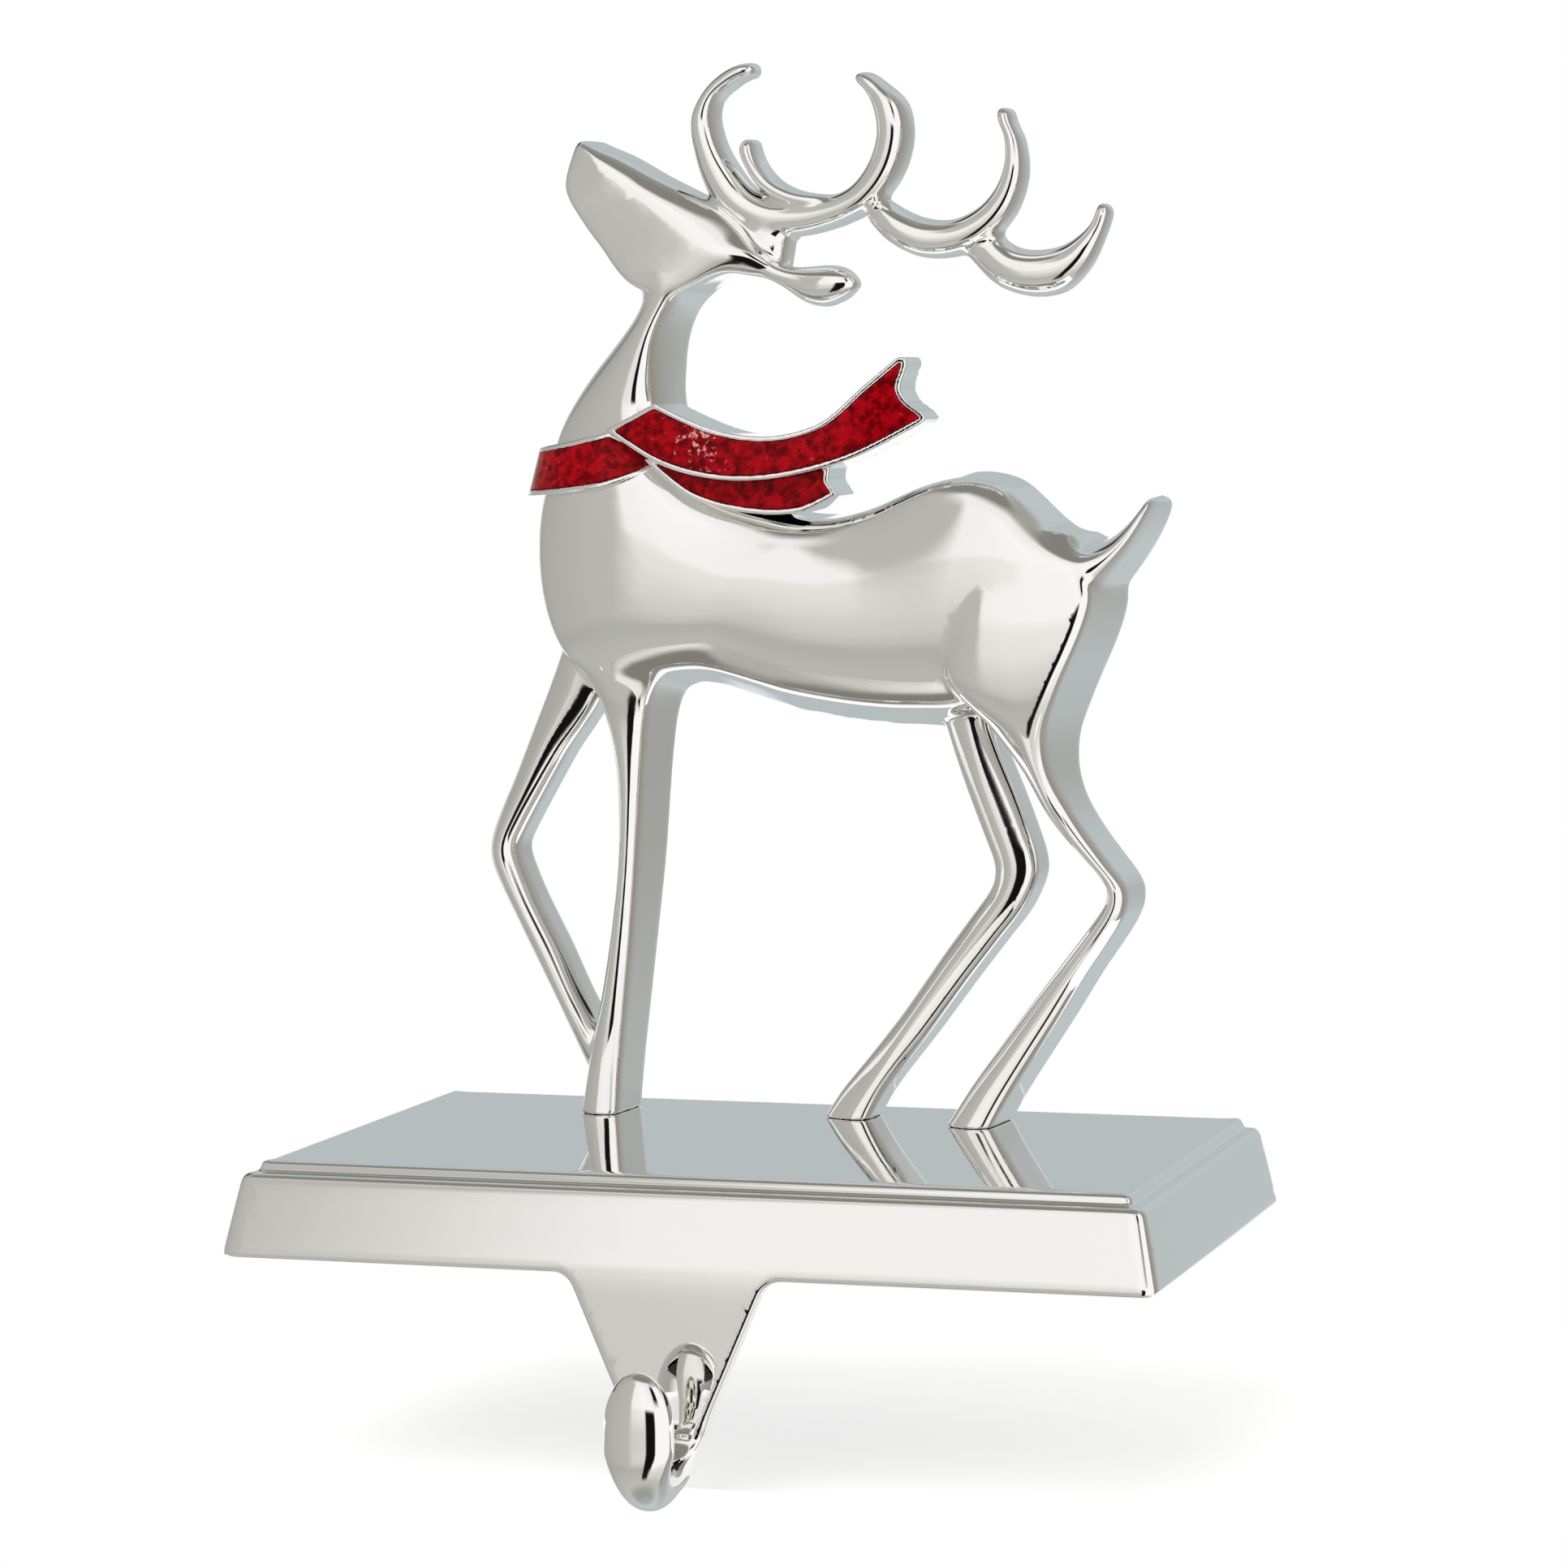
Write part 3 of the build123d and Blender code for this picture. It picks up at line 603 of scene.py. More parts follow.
    def front_near(self) -> Limb:
        """Near front leg, standing straight."""
        return Limb([
            (-36.4, 87, -10, 85, 16.2, 4.4), (-34.4, 80.6, -16, 79.2, 16.4, 4.2, 0, 0, 12),
            (-31.8, 76.4, -20.2, 75.6, 17, 3.4, 0, 0.05, 11),
            (-29.8, 72.5, -22, 72.2, 17.6, 2.6, 0, 0.15, 10), (-28.3, 67, -22.9, 67, 18, 2.2, -0.1, 0.25, 10),
            (-27.4, 60, -23.4, 60, 18, 2, -0.1, 0.3, 9), (-27.4, 50, -24, 50, 18, 2, -0.1, 0.3, 8),
            (-28.5, 40, -24.8, 40, 18, 2, -0.1, 0.3, 6), (-30, 30, -25.8, 30, 18, 2, -0.1, 0.3, 5),
            (-32, 20, -26.8, 20, 18, 2, -0.1, 0.3, 4), (-33.4, 11, -27.6, 11, 18, 1.4, -0.1, 0.3, 4),
        ], self.back, edge_a=0.8, edge_b=1.1, blend=1.0, fall=0.42)

    def front_far(self) -> Limb:
        """Far front leg, lifted and bent."""
        return Limb([
            (-35.5, 84, -28.2, 80.6, 22, 2.4), (-38.8, 75.5, -31.6, 71.6, 23, 3.2, 0, 0.3),
            (-41.8, 68.5, -35.8, 65.4, 23.4, 3.6, 0, 0.3), (-45.2, 60.3, -40, 58.2),
            (-47.8, 54.4, -42.8, 53.1), (-48.7, 50.8, -43.6, 50.9), (-48.2, 47.6, -43.2, 48.9),
            (-45.2, 41.3, -40.8, 43.3), (-41.8, 34.6, -37.4, 36.8), (-38.3, 27.7, -34.1, 29.8),
            (-34.8, 20.7, -30.4, 23, 23.4, 3.4, 0, 0.3), (-32.4, 16, -28.2, 18, 23.4, 2.6, 0, 0.3),
        ], self.back, edge_a=0.8, edge_b=1.1, blend=0.3, fall=0.42)

    def build(self) -> Object:
        """Work out the casting's field and mesh it.

        Returns:
            The reindeer's object.
        """
        lattice = Lattice(self.low, self.high, self.pitch)
        x, y, z = lattice.grid()
        solid = np.full((x.size, y.size, z.size), OPEN, np.float32)
        for limb in self.limbs():
            part, values = limb.field(lattice)
            solid[part] = rounded_join(solid[part], values.astype(np.float32), limb.blend)
        solid = softened(np.maximum(solid, y - self.back), self.soften)
        solid = rounded_cut(solid, np.broadcast_to(self.foot_z - z, solid.shape), self.foot_edge)
        return lattice.mesh("reindeer_casting", solid, self.merge, self.reach)


@dataclass
class Base:
    """The tray: drafted skirt, shoulder, raised plate, hollow below, and the tab and hook in front."""

    length: float = 130.0
    width: float = 84.8
    shoulder_z: float = 11.4
    skirt_inset: float = 2.5
    step_inset: float = 2.0
    plate_up: float = 1.5
    corner: float = 1.6
    corner_foot: float = 2.2
    corner_plate: float = 0.6
    shoulder_edge: float = 1.0
    plate_edge: float = 0.8
    crease: float = 0.15
    wall: float = 3.0
    wall_slope: float = 0.22
    top_t: float = 4.4
    rib_x: tuple[float, ...] = (-38.0, 0.0, 38.0)
    rib_t: float = 2.0
    rib_h: float = 3.1
    tab_x: float = -1.4
    tab_t: float = 2.8
    tab_top_w: float = 28.0
    tab_end_w: float = 11.5
    tab_drop: float = 19.0
    tab_overlap: float = 1.5
    tab_fillet: float = 1.6
    foot_edge: float = 0.6
    tab_edge: float = 0.85
    bend: float = 1.2
    hook_r: float = 6.4
    hook_drop: float = 5.5
    hook_w: float = 9.7
    hook_t: float = 5.4
    hook_flare: float = 0.05
    hook_waist: float = 0.34
    hook_thin: float = 0.52
    hook_lobe: float = 0.55
    hook_bulk: float = 0.35
    hook_square: float = 4.0
    hook_rounding: float = 2.5
    hook_root: float = 1.0
    hook_fade: float = 2.0
    hook_join: float = 0.25
    hook_below: float = 1.9
    hook_tip_z: float = -10.4
    hook_nose: float = 7.6
    front_y: float = -58.2
    bottom_z: float = -31.2
    tab_region: tuple[float, float] = (-35.0, 4.0)
    border: float = 1.2
    pitch: float = 0.34
    soften: int = 2
    merge: float = 0.008
    reach: float = 1.0

    def plan(self, x: np.ndarray, y: np.ndarray, inset: np.ndarray | float,
             corner: np.ndarray | float) -> np.ndarray:
        """Distance to a rounded rectangle inside the base's outline.

        Args:
            x: Points along X.
            y: Points along Y.
            inset: How far the rectangle lies inside the outline.
            corner: Radius of its corners.

        Returns:
            The distance, negative inside.
        """
        dx = np.abs(x) - self.length / 2 + inset + corner
        dy = np.abs(y) - self.width / 2 + inset + corner
        return np.hypot(np.maximum(dx, 0), np.maximum(dy, 0)) + np.minimum(np.maximum(dx, dy), 0) - corner

    def skirt(self, at: Points) -> np.ndarray:
        """Field of the skirt's walls, which lean in above the foot and hang straight below it.

        Args:
            at: Points along X, Y and Z.

        Returns:
            The field.
        """
        x, y, z = at
        slope = self.skirt_inset / self.shoulder_z
        rise = (z + np.hypot(z, self.bend)) / 2
        corner = self.corner_foot + (self.corner - self.corner_foot) * np.clip(z / self.shoulder_z, 0, 1)
        return self.plan(x, y, slope * rise, corner) / math.hypot(1, slope)

    def tray(self, at: Points) -> np.ndarray:
        """Field of the skirt, the plate, the hollow and the ribs.

        Args:
            at: Points along X, Y and Z.

        Returns:
            The field.
        """
        x, y, z = at
        skirt = rounded_cut(self.skirt(at), z - self.shoulder_z, self.shoulder_edge)
        edge = self.plan(x, y, self.skirt_inset + self.step_inset, self.corner_plate)
        top = self.shoulder_z + self.plate_up
        plate = rounded_cut(edge + 0 * z, z - top, self.plate_edge)
        solid = rounded_cut(rounded_join(skirt, plate, self.crease), -z, self.foot_edge)
        ceiling = top - self.top_t
        inner = self.plan(x, y, self.wall + self.wall_slope * z, self.corner)
        hollow = np.maximum(inner, z - ceiling)
        for place in self.rib_x:
            rib = np.maximum(np.abs(x - place) - self.rib_t / 2, ceiling - self.rib_h - z)
            hollow = np.maximum(hollow, -rib)
        return np.maximum(solid, -hollow)

    def tab(self, at: Points) -> np.ndarray:
        """Field of the tapered tab and the strip of skirt that it grows out of, as one sheet.

        Args:
            at: Points along X, Y and Z.

        Returns:
            The field.
        """
        x, y, z = at
        slope = (self.tab_top_w - self.tab_end_w) / 2 / self.tab_drop
        side = (np.abs(x - self.tab_x) - self.tab_top_w / 2 - slope * z) / math.hypot(1, slope)
        outline = rounded_join(side, -z + 0 * side, self.tab_fillet)
        sheet = rounded_cut(outline + 0 * y, self.skirt(at), self.tab_edge)
        sheet = rounded_cut(sheet, y + self.width / 2 - self.tab_t, self.tab_edge)
        return np.maximum(sheet, -self.tab_drop - self.tab_overlap - z)

    def hook(self, at: Points) -> np.ndarray:
        """Field of the hook: the tab's end narrows to a tongue that bends up into an egg-shaped lobe.

        Args:
            at: Points along X, Y and Z.

        Returns:
            The field.
        """
        x, y, z = at
        middle_y = -self.width / 2 + self.tab_t / 2 - self.hook_r
        middle_z = -self.tab_drop - self.hook_below
        squeeze = self.hook_r / self.hook_drop
        dy, dz = y - middle_y, z - middle_z
        low = np.minimum(dz, 0) * squeeze
        turn = np.arctan2(np.maximum(-low, 0.0), np.where(dz > 0, np.sign(dy), dy))
        share = turn / math.pi
        ring = np.hypot(dy, low)
        tilt = np.hypot(dy, squeeze * low) / np.maximum(ring, TINY)
        off = (ring - self.hook_r) / np.maximum(tilt, TINY)
        bow = np.sin(turn)
        wide = self.hook_w / 2 * (1 + self.hook_flare * (1 - share) ** 2 - self.hook_waist * bow)
        thick = self.hook_t / 2 * (self.hook_thin + self.hook_lobe * np.sin(turn / 2) + self.hook_bulk * bow)
        nose = np.maximum(z - self.hook_tip_z + self.hook_nose, 0) / self.hook_nose
        past = np.where(dy < 0, nose, np.maximum(dz - self.hook_root, 0) / self.hook_fade)
        square = 2 + self.hook_square * np.clip(1 - self.hook_rounding * share, 0, 1)
        near = (np.abs((x - self.tab_x) / wide) ** square + np.abs(off / thick) ** square
                + past ** square) ** (1 / square)
        return np.clip((near - 1) * np.minimum(wide, thick), -OPEN, OPEN)

    def build(self) -> Object:
        """Work out the casting's field and mesh it.

        Returns:
            The base's object.
        """
        low = (-self.length / 2 - self.border, self.front_y, self.bottom_z)
        top = self.shoulder_z + self.plate_up
        high = (self.length / 2 + self.border, self.width / 2 + self.border, top + self.border)
        lattice = Lattice(low, high, self.pitch)
        x, y, z = lattice.grid()
        solid = self.tray((x, y, z))
        front = slice(0, int(np.searchsorted(y.ravel(), self.tab_region[0])))
        under = slice(0, int(np.searchsorted(z.ravel(), self.tab_region[1])))
        part = (slice(None), front, under)
        near = (x, y[:, front], z[..., under])
        solid[part] = np.minimum(solid[part], rounded_join(self.tab(near), self.hook(near), self.hook_join))
        return lattice.mesh("base_casting", softened(solid, self.soften), self.merge, self.reach)


@dataclass
class Band:
    """One band of the scarf: a rimmed slab on a round or cone-shaped front, with a well for enamel.

    The sides run round the outline in the front view; one of more than two points is a smooth curve.
    """

    name: str
    sides: list[list[tuple[float, float]]]
    axis_x: float
    axis_y: float
    radius: float
    taper: float
    level: float
    back: float
    rim: float = 0.75
    rim_edge: float = 0.24
    well: float = 0.6
    drop: float = 0.1
    fill_edge: float = 0.12
    halvings: int = 3

    def points(self) -> np.ndarray:
        """Work out the outline as a fine polygon.

        Returns:
            Its corners in the front view.
        """
        rows = []
        for side in self.sides:
            table = np.array(side, float)
            if len(side) > 2:
                for _ in range(self.halvings):
                    table = halved(table, table)
            rows.append(table[:-1])
        return np.vstack(rows)

    def outline(self, xs: np.ndarray, zs: np.ndarray) -> np.ndarray:
        """Distance to the outline in the front view, negative inside.

        Args:
            xs: Points along X.
            zs: Points along Z.

        Returns:
            The distance at each point of the front view.
        """
        x, z = xs[:, None].astype(float), zs[None, :].astype(float)
        corners = self.points()
        nearest = np.full((len(xs), len(zs)), np.inf)
        inside = np.zeros(nearest.shape, bool)
        for p, q in zip(corners, np.roll(corners, -1, axis=0)):
            run = q - p
            share = np.clip(((x - p[0]) * run[0] + (z - p[1]) * run[1]) / max(run @ run, TINY), 0, 1)
            nearest = np.minimum(nearest, np.hypot(x - p[0] - share * run[0], z - p[1] - share * run[1]))
            crosses = (p[1] > z) != (q[1] > z)
            reach = p[0] + (z - p[1]) * run[0] / (run[1] if abs(run[1]) > TINY else TINY)
            inside ^= crosses & (x < reach)
        return np.where(inside, -nearest, nearest)

    def front(self, at: Points) -> np.ndarray:
        """Distance to the band's front surface, negative behind it.

        Args:
            at: Points along X, Y and Z.

        Returns:
            The distance.
        """
        x, y, z = at
        radius = self.radius - self.taper * (z - self.level)
        return (np.hypot(x - self.axis_x, y - self.axis_y) - radius) / math.hypot(1, self.taper)

    def metal(self, edge: np.ndarray, front: np.ndarray, y: np.ndarray, kept: np.ndarray) -> np.ndarray:
        """Field of the slab with its well cut out.

        Args:
            edge: Distance to the outline.
            front: Distance to the front surface.
            y: Points along Y.
            kept: Distance to what the well must leave standing, positive outside it.

        Returns:
            The field.
        """
        slab = np.maximum(rounded_cut(edge, front, self.rim_edge), y - self.back)
        hole = np.maximum(np.maximum(edge + self.rim, -front - self.well), -kept)
        return rounded_cut(slab, -hole, self.rim_edge / 2)

    def enamel(self, edge: np.ndarray, front: np.ndarray, kept: np.ndarray) -> np.ndarray:
        """Field of the enamel that fills the well.

        Args:
            edge: Distance to the outline.
            front: Distance to the front surface.
            kept: Distance to what the well leaves standing.

        Returns:
            The field.
        """
        fill = rounded_cut(np.maximum(edge + self.rim, -kept), front + self.drop, self.fill_edge)
        return np.maximum(fill, -front - self.well)


@dataclass
class Scarf:
    """The scarf round the neck: a collar and two tails, with bright rims and red enamel."""

    collar_back: float = 27.2
    tail_back: float = 22.5
    tail_radius: float = 110.0
    tail_axis_x: float = -14.0
    long_front: float = 9.4
    short_front: float = 11.0
    join: float = 0.1
    pitch: float = 0.22
    merge: float = 0.02
    low: tuple[float, float, float] = (-44.0, 8.2, 97.5)
    high: tuple[float, float, float] = (21.5, 29.0, 123.5)

    def collar(self) -> Band:
        """Band round the neck."""
        return Band("collar", [
            [(-46.0, 108.0), (-33.0, 109.7), (-26.0, 111.2)],
            [(-26.0, 111.2), (-17.0, 107.0)],
            [(-17.0, 107.0), (-27.0, 103.3), (-46.0, 101.6)],
            [(-46.0, 101.6), (-46.0, 108.0)],
        ], -27.5, 24.0, 12.9, 0.25, 107.0, self.collar_back)

    def long_tail(self) -> Band:
        """Long tail that blows upwards, with a notched end."""
        return Band("long_tail", [
            [(-26.2, 111.4), (-18.6, 115.2)],
            [(-18.6, 115.2), (-10.5, 111.7), (-2.5, 110.5), (5.0, 112.3), (10.5, 117.0), (15.6, 121.4)],
            [(15.6, 121.4), (16.6, 121.5), (17.0, 120.6), (16.4, 118.6), (16.1, 117.0), (17.0, 115.4),
             (18.8, 114.0), (19.5, 113.0), (18.8, 112.2)],
            [(18.8, 112.2), (10.0, 107.6), (0.0, 104.8), (-9.0, 104.4), (-18.0, 106.6), (-26.2, 111.4)],
        ], self.tail_axis_x, self.long_front + self.tail_radius, self.tail_radius, 0.0, 0.0, self.tail_back)

    def short_tail(self) -> Band:
        """Short tail below the long one, with a notched end."""
        return Band("short_tail", [
            [(-21.0, 107.4), (-5.0, 107.0), (6.1, 106.4)],
            [(6.1, 106.4), (5.8, 104.4)],
            [(5.8, 104.4), (7.1, 102.3)],
            [(7.1, 102.3), (2.0, 99.9), (-5.0, 99.7), (-14.0, 102.0), (-21.0, 107.4)],
        ], self.tail_axis_x, self.short_front + self.tail_radius, self.tail_radius, 0.0, 0.0, self.tail_back)

    def build(self) -> tuple[Object, list[tuple[str, Object]]]:
        """Work out the rims and the enamel and mesh them.

        Returns:
            The metal's object, and each enamel's node name with its object.
        """
        lattice = Lattice(self.low, self.high, self.pitch)
        x, y, z = lattice.grid()
        bands = [self.long_tail(), self.short_tail(), self.collar()]
        metal = np.full((x.size, y.size, z.size), OPEN, np.float32)
        kept = np.full((x.size, 1, z.size), OPEN)
        fills = []
        for band in bands:
            edge = band.outline(lattice.axis(0), lattice.axis(2))[:, None, :]
            front = band.front((x, y, z)) + 0 * edge
            edge = edge + 0 * front
            metal = rounded_join(metal, band.metal(edge, front, y, kept), self.join)
            fill = lattice.mesh(f"{band.name}_enamel", band.enamel(edge, front, kept), 0.0)
            fills.append((f"scarf_{band.name}_enamel", fill))
            kept = np.minimum(kept, edge[:, :1, :])
        return lattice.mesh("scarf_rims", metal, self.merge), fills


class Surface(Enum):
    """Material slots of the record for the pieces made here."""

    PLATED = "plated_casting"
    ENAMEL = "red_enamel"


class Pattern(Enum):
    """Patterns that the finishes use: the node's type and the output that is read."""

    NOISE = ("ShaderNodeTexNoise", "Fac")
    CELLS = ("ShaderNodeTexVoronoi", "Distance")


class Graph:
    """The nodes of one material, with what the finishes have in common."""

    def __init__(self, name: str) -> None:
        """Start an empty material.

        Args:
            name: Name of the material.
        """
        self.material = bpy.data.materials.new(name)
        self.material.use_nodes = True
        self.tree = self.material.node_tree
        self.tree.nodes.clear()

    def place(self) -> NodeSocket:
        """Where a point lies in the piece's own frame, in metres."""
        return add_node(self.tree, "ShaderNodeTexCoord").outputs["Object"]

    def pattern(self, kind: Pattern, size_mm: float, **values: float) -> NodeSocket:
        """Pattern with lumps or cells of a real size."""
        node = add_node(self.tree, kind.value[0], None, {"Vector": self.place()},
                        Scale=1 / (size_mm * MM), **values)
        return node.outputs[kind.value[1]]

    def mapped(self, value: NodeSocket, span: Span, to: Span = (0.0, 1.0),
               ease: str = "LINEAR") -> NodeSocket:
        """Value stretched from one range to another, and held inside it."""
        node = add_node(self.tree, "ShaderNodeMapRange", {"interpolation_type": ease}, {"Value": value},
                        From_Min=span[0], From_Max=span[1], To_Min=to[0], To_Max=to[1])
        return node.outputs["Result"]

    def mixed(self, share: NodeSocket, a: str, b: str) -> NodeSocket:
        """Colour between two hex colours."""
        node = add_node(self.tree, "ShaderNodeMix", {"data_type": "RGBA"}, {"Factor": share},
                        A=linear(a), B=linear(b))
        return node.outputs["Result"]

    def bump(self, height: NodeSocket, depth_mm: float, strength: float = 1.0) -> NodeSocket:
        """Normal of a surface that follows a pattern."""
        node = add_node(self.tree, "ShaderNodeBump", None, {"Height": height}, Strength=strength,
                        Distance=depth_mm * MM)
        return node.outputs["Normal"]

    def finished(self, links: dict[str, NodeSocket], **values: object) -> Material:
        """Add the shader and the output.

        Args:
            links: Input of the shader to the socket that feeds it.
            values: Other inputs of the shader, with underscores for blanks, to their values.

        Returns:
            The material.
        """
        shader = add_node(self.tree, "ShaderNodeBsdfPrincipled", None, links, **values)
        add_node(self.tree, "ShaderNodeOutputMaterial", links={"Surface": shader.outputs["BSDF"]})
        return self.material


@dataclass(frozen=True)
class PolishedNickel:
    """Bright nickel plate over a buffed zinc die casting.

    It gives the eye a mirror with the faintest warm tint, a little haze where the buffing wheel left it, and
    reflections that waver slightly, because a casting is never quite flat.
    """

    tint: str = "F8F7F5"
    clear: float = 0.02
    haze: float = 0.06
    haze_mm: float = 5.0
    haze_span: Span = (0.35, 0.75)
    waver_mm: float = 7.0
    waver_depth_mm: float = 0.006

    def make(self) -> Material:
        """Make the material.

        Returns:
            The material.
        """
        graph = Graph("polished_nickel_plate")
        smear = graph.pattern(Pattern.NOISE, self.haze_mm, Detail=3.0)
        rough = graph.mapped(smear, self.haze_span, (self.clear, self.haze))
        waver = graph.bump(graph.pattern(Pattern.NOISE, self.waver_mm, Detail=1.0), self.waver_depth_mm)
        return graph.finished({"Roughness": rough, "Normal": waver}, Metallic=1.0,
                              Base_Color=linear(self.tint))


@dataclass(frozen=True)
class RedEnamel:
    """Soft enamel poured into the wells.

    It gives the eye a deep wine red that clouds to a brighter red. Pale flecks of flake are sparse all over,
    and crowd together as a painted highlight round a patch on the long tail.
    """

    deep: str = "620006"
    bright: str = "B40414"
    # Pale fleck colour: sparse flake all over, and a painted highlight where the flecks crowd round the patch
    fleck_and_painted_highlight: str = "F0B8B8"
    cloud_mm: float = 1.4
    cloud_span: Span = (0.34, 0.66)
    fleck_and_highlight_mm: float = 0.7
    fleck_and_highlight_level: Span = (0.52, 0.74)
    fleck_and_highlight_span: float = 0.12
    fleck_and_highlight_most: float = 0.8
    # Centre and size of the patch on the long tail where the painted highlight lies
    painted_highlight_patch: tuple[float, float, float] = (-11.5, 9.5, 110.2)
    painted_highlight_patch_mm: float = 7.0
    roughness: float = 0.2
    gloss: float = 0.08
    ior: float = 1.5

    def make(self) -> Material:
        """Make the material.

        Returns:
            The material.
        """
        graph = Graph("poured_red_enamel")
        tree = graph.tree
        clouds = graph.pattern(Pattern.NOISE, self.cloud_mm, Detail=3.0, Roughness=0.6)
        colour = graph.mixed(graph.mapped(clouds, self.cloud_span, ease="SMOOTHSTEP"), self.deep, self.bright)
        # Painted highlight: the pale flecks, sparse all over, are painted more densely the nearer they lie to
        # the patch on the long tail
        flecks_and_highlight = graph.pattern(Pattern.NOISE, self.fleck_and_highlight_mm, Detail=2.0)
        away = add_node(tree, "ShaderNodeVectorMath", {"operation": "DISTANCE"}, {0: graph.place()})
        away.inputs[1].default_value = Vector(self.painted_highlight_patch) * MM
        level = graph.mapped(away.outputs["Value"], (0.0, self.painted_highlight_patch_mm * MM), self.fleck_and_highlight_level)
        over = add_node(tree, "ShaderNodeMath", {"operation": "SUBTRACT"}, {0: flecks_and_highlight, 1: level})
        fleck_and_highlight_share = graph.mapped(over.outputs["Value"], (0.0, self.fleck_and_highlight_span), (0.0, self.fleck_and_highlight_most))
        flecked_and_highlighted = add_node(tree, "ShaderNodeMix", {"data_type": "RGBA"}, {"Factor": fleck_and_highlight_share, "A": colour},
                            B=linear(self.fleck_and_painted_highlight))
        return graph.finished({"Base Color": flecked_and_highlighted.outputs["Result"]}, Roughness=self.roughness,
                              IOR=self.ior, Specular_IOR_Level=self.gloss)


@dataclass(frozen=True)
class ZincPlatedSteel:
    """Rolled-thread steel screws, zinc plated: a soft grey shine with a fine crystalline mottle."""

    pale: str = "B9BCC0"
    dark: str = "8F9398"
    crystal_mm: float = 0.5
    roughness: float = 0.34

    def make(self) -> Material:
        """Make the material.

        Returns:
            The material.
        """
        graph = Graph("zinc_plated_steel")
        colour = graph.mixed(graph.pattern(Pattern.CELLS, self.crystal_mm), self.pale, self.dark)
        return graph.finished({"Base Color": colour}, Metallic=1.0, Roughness=self.roughness)


@dataclass(frozen=True)
class ClosedCellFoam:
    """Die-cut black foam sheet: matt, nearly black, with the fine pits of its closed cells, painted darker
    inside the pits as shade.
    """

    skin: str = "1A1A1B"
    # Darker colour painted into the pits as shade
    painted_pit_shade: str = "0B0B0C"
    cell_mm: float = 0.4
    depth_mm: float = 0.08
    pitting: float = 0.6
    roughness: float = 0.92

    def make(self) -> Material:
        """Make the material.

        Returns:
            The material.
        """
        graph = Graph("die_cut_closed_cell_foam")
        cells = graph.pattern(Pattern.CELLS, self.cell_mm)
        # Painted shade: the colour darkens towards each cell's pit, following the same pattern as the bump
        colour = graph.mixed(cells, self.painted_pit_shade, self.skin)
        pits = graph.bump(cells, self.depth_mm, self.pitting)
        return graph.finished({"Base Color": colour, "Normal": pits}, Roughness=self.roughness)


@dataclass(frozen=True)
class Ring:
    """The tent's tones round the object at one elevation.

    The stops are azimuths with their colours. Azimuth runs from the front (0) to the right (90), in degrees.
    """

    elevation: float
    stops: Stops


WHITE = "FFFFFF"
DOORWAY = "141210"
GAP = "101010"
GREY_BACK_LEFT: Stops = ((-180, "B8C0C3"), (-150, "B8C0C3"))
GREY_BACK_RIGHT: Stops = ((166, "BEC7C9"), (180, "BEC7C9"))
WHITE_BACK_LEFT: Stops = ((-180, WHITE), (-150, WHITE))
WHITE_BACK_RIGHT: Stops = ((168, "BEC7C9"), (180, WHITE))
LEFT: Stops = ((-126, "A8A8A4"), (-60, "B6B6B2"))
BRIGHT_FRONT: Stops = ((-23, "BDBCB8"), (-18.5, "F6F6F4"), (10, WHITE))
RIGHT_END: Stops = ((132, "9E9E9A"), (150, "A8A9A6"))
RIGHT: Stops = ((99, WHITE), (105, "9A9088"), (116, "9A928A"), *RIGHT_END)


def plain(elevation: float, back: str, turn: float, front: str) -> Ring:
    """Ring of one tone as far as a turn to both sides, that passes into another at the back."""
    return Ring(elevation, ((-180, back), (-turn, front), (turn, front), (180, back)))


def doorway(pale: str, dark: str) -> Stops:
    """Stops from the left panel's edge, over the dark doorway, to the white right panel."""
    return ((8.5, pale), (11.5, dark), (32, dark), (35.5, WHITE))


def upper(elevation: float, flag: str, pale: str) -> Ring:
    """Ring above the doorway.

    Args:
        elevation: Its elevation in degrees.
        flag: Colour of the flag behind at the left.
        pale: Colour of the front panel where the black gap begins.

    Returns:
        The ring.
    """
    left = ((-140, flag), (-120, flag), (-110, "A8A8A4"), (-60, "B6B6B2"))
    gap = ((36, pale), (41, GAP), (54, GAP), (58, WHITE))
    return Ring(elevation, (*GREY_BACK_LEFT, *left, *BRIGHT_FRONT, *gap, *RIGHT, *GREY_BACK_RIGHT))


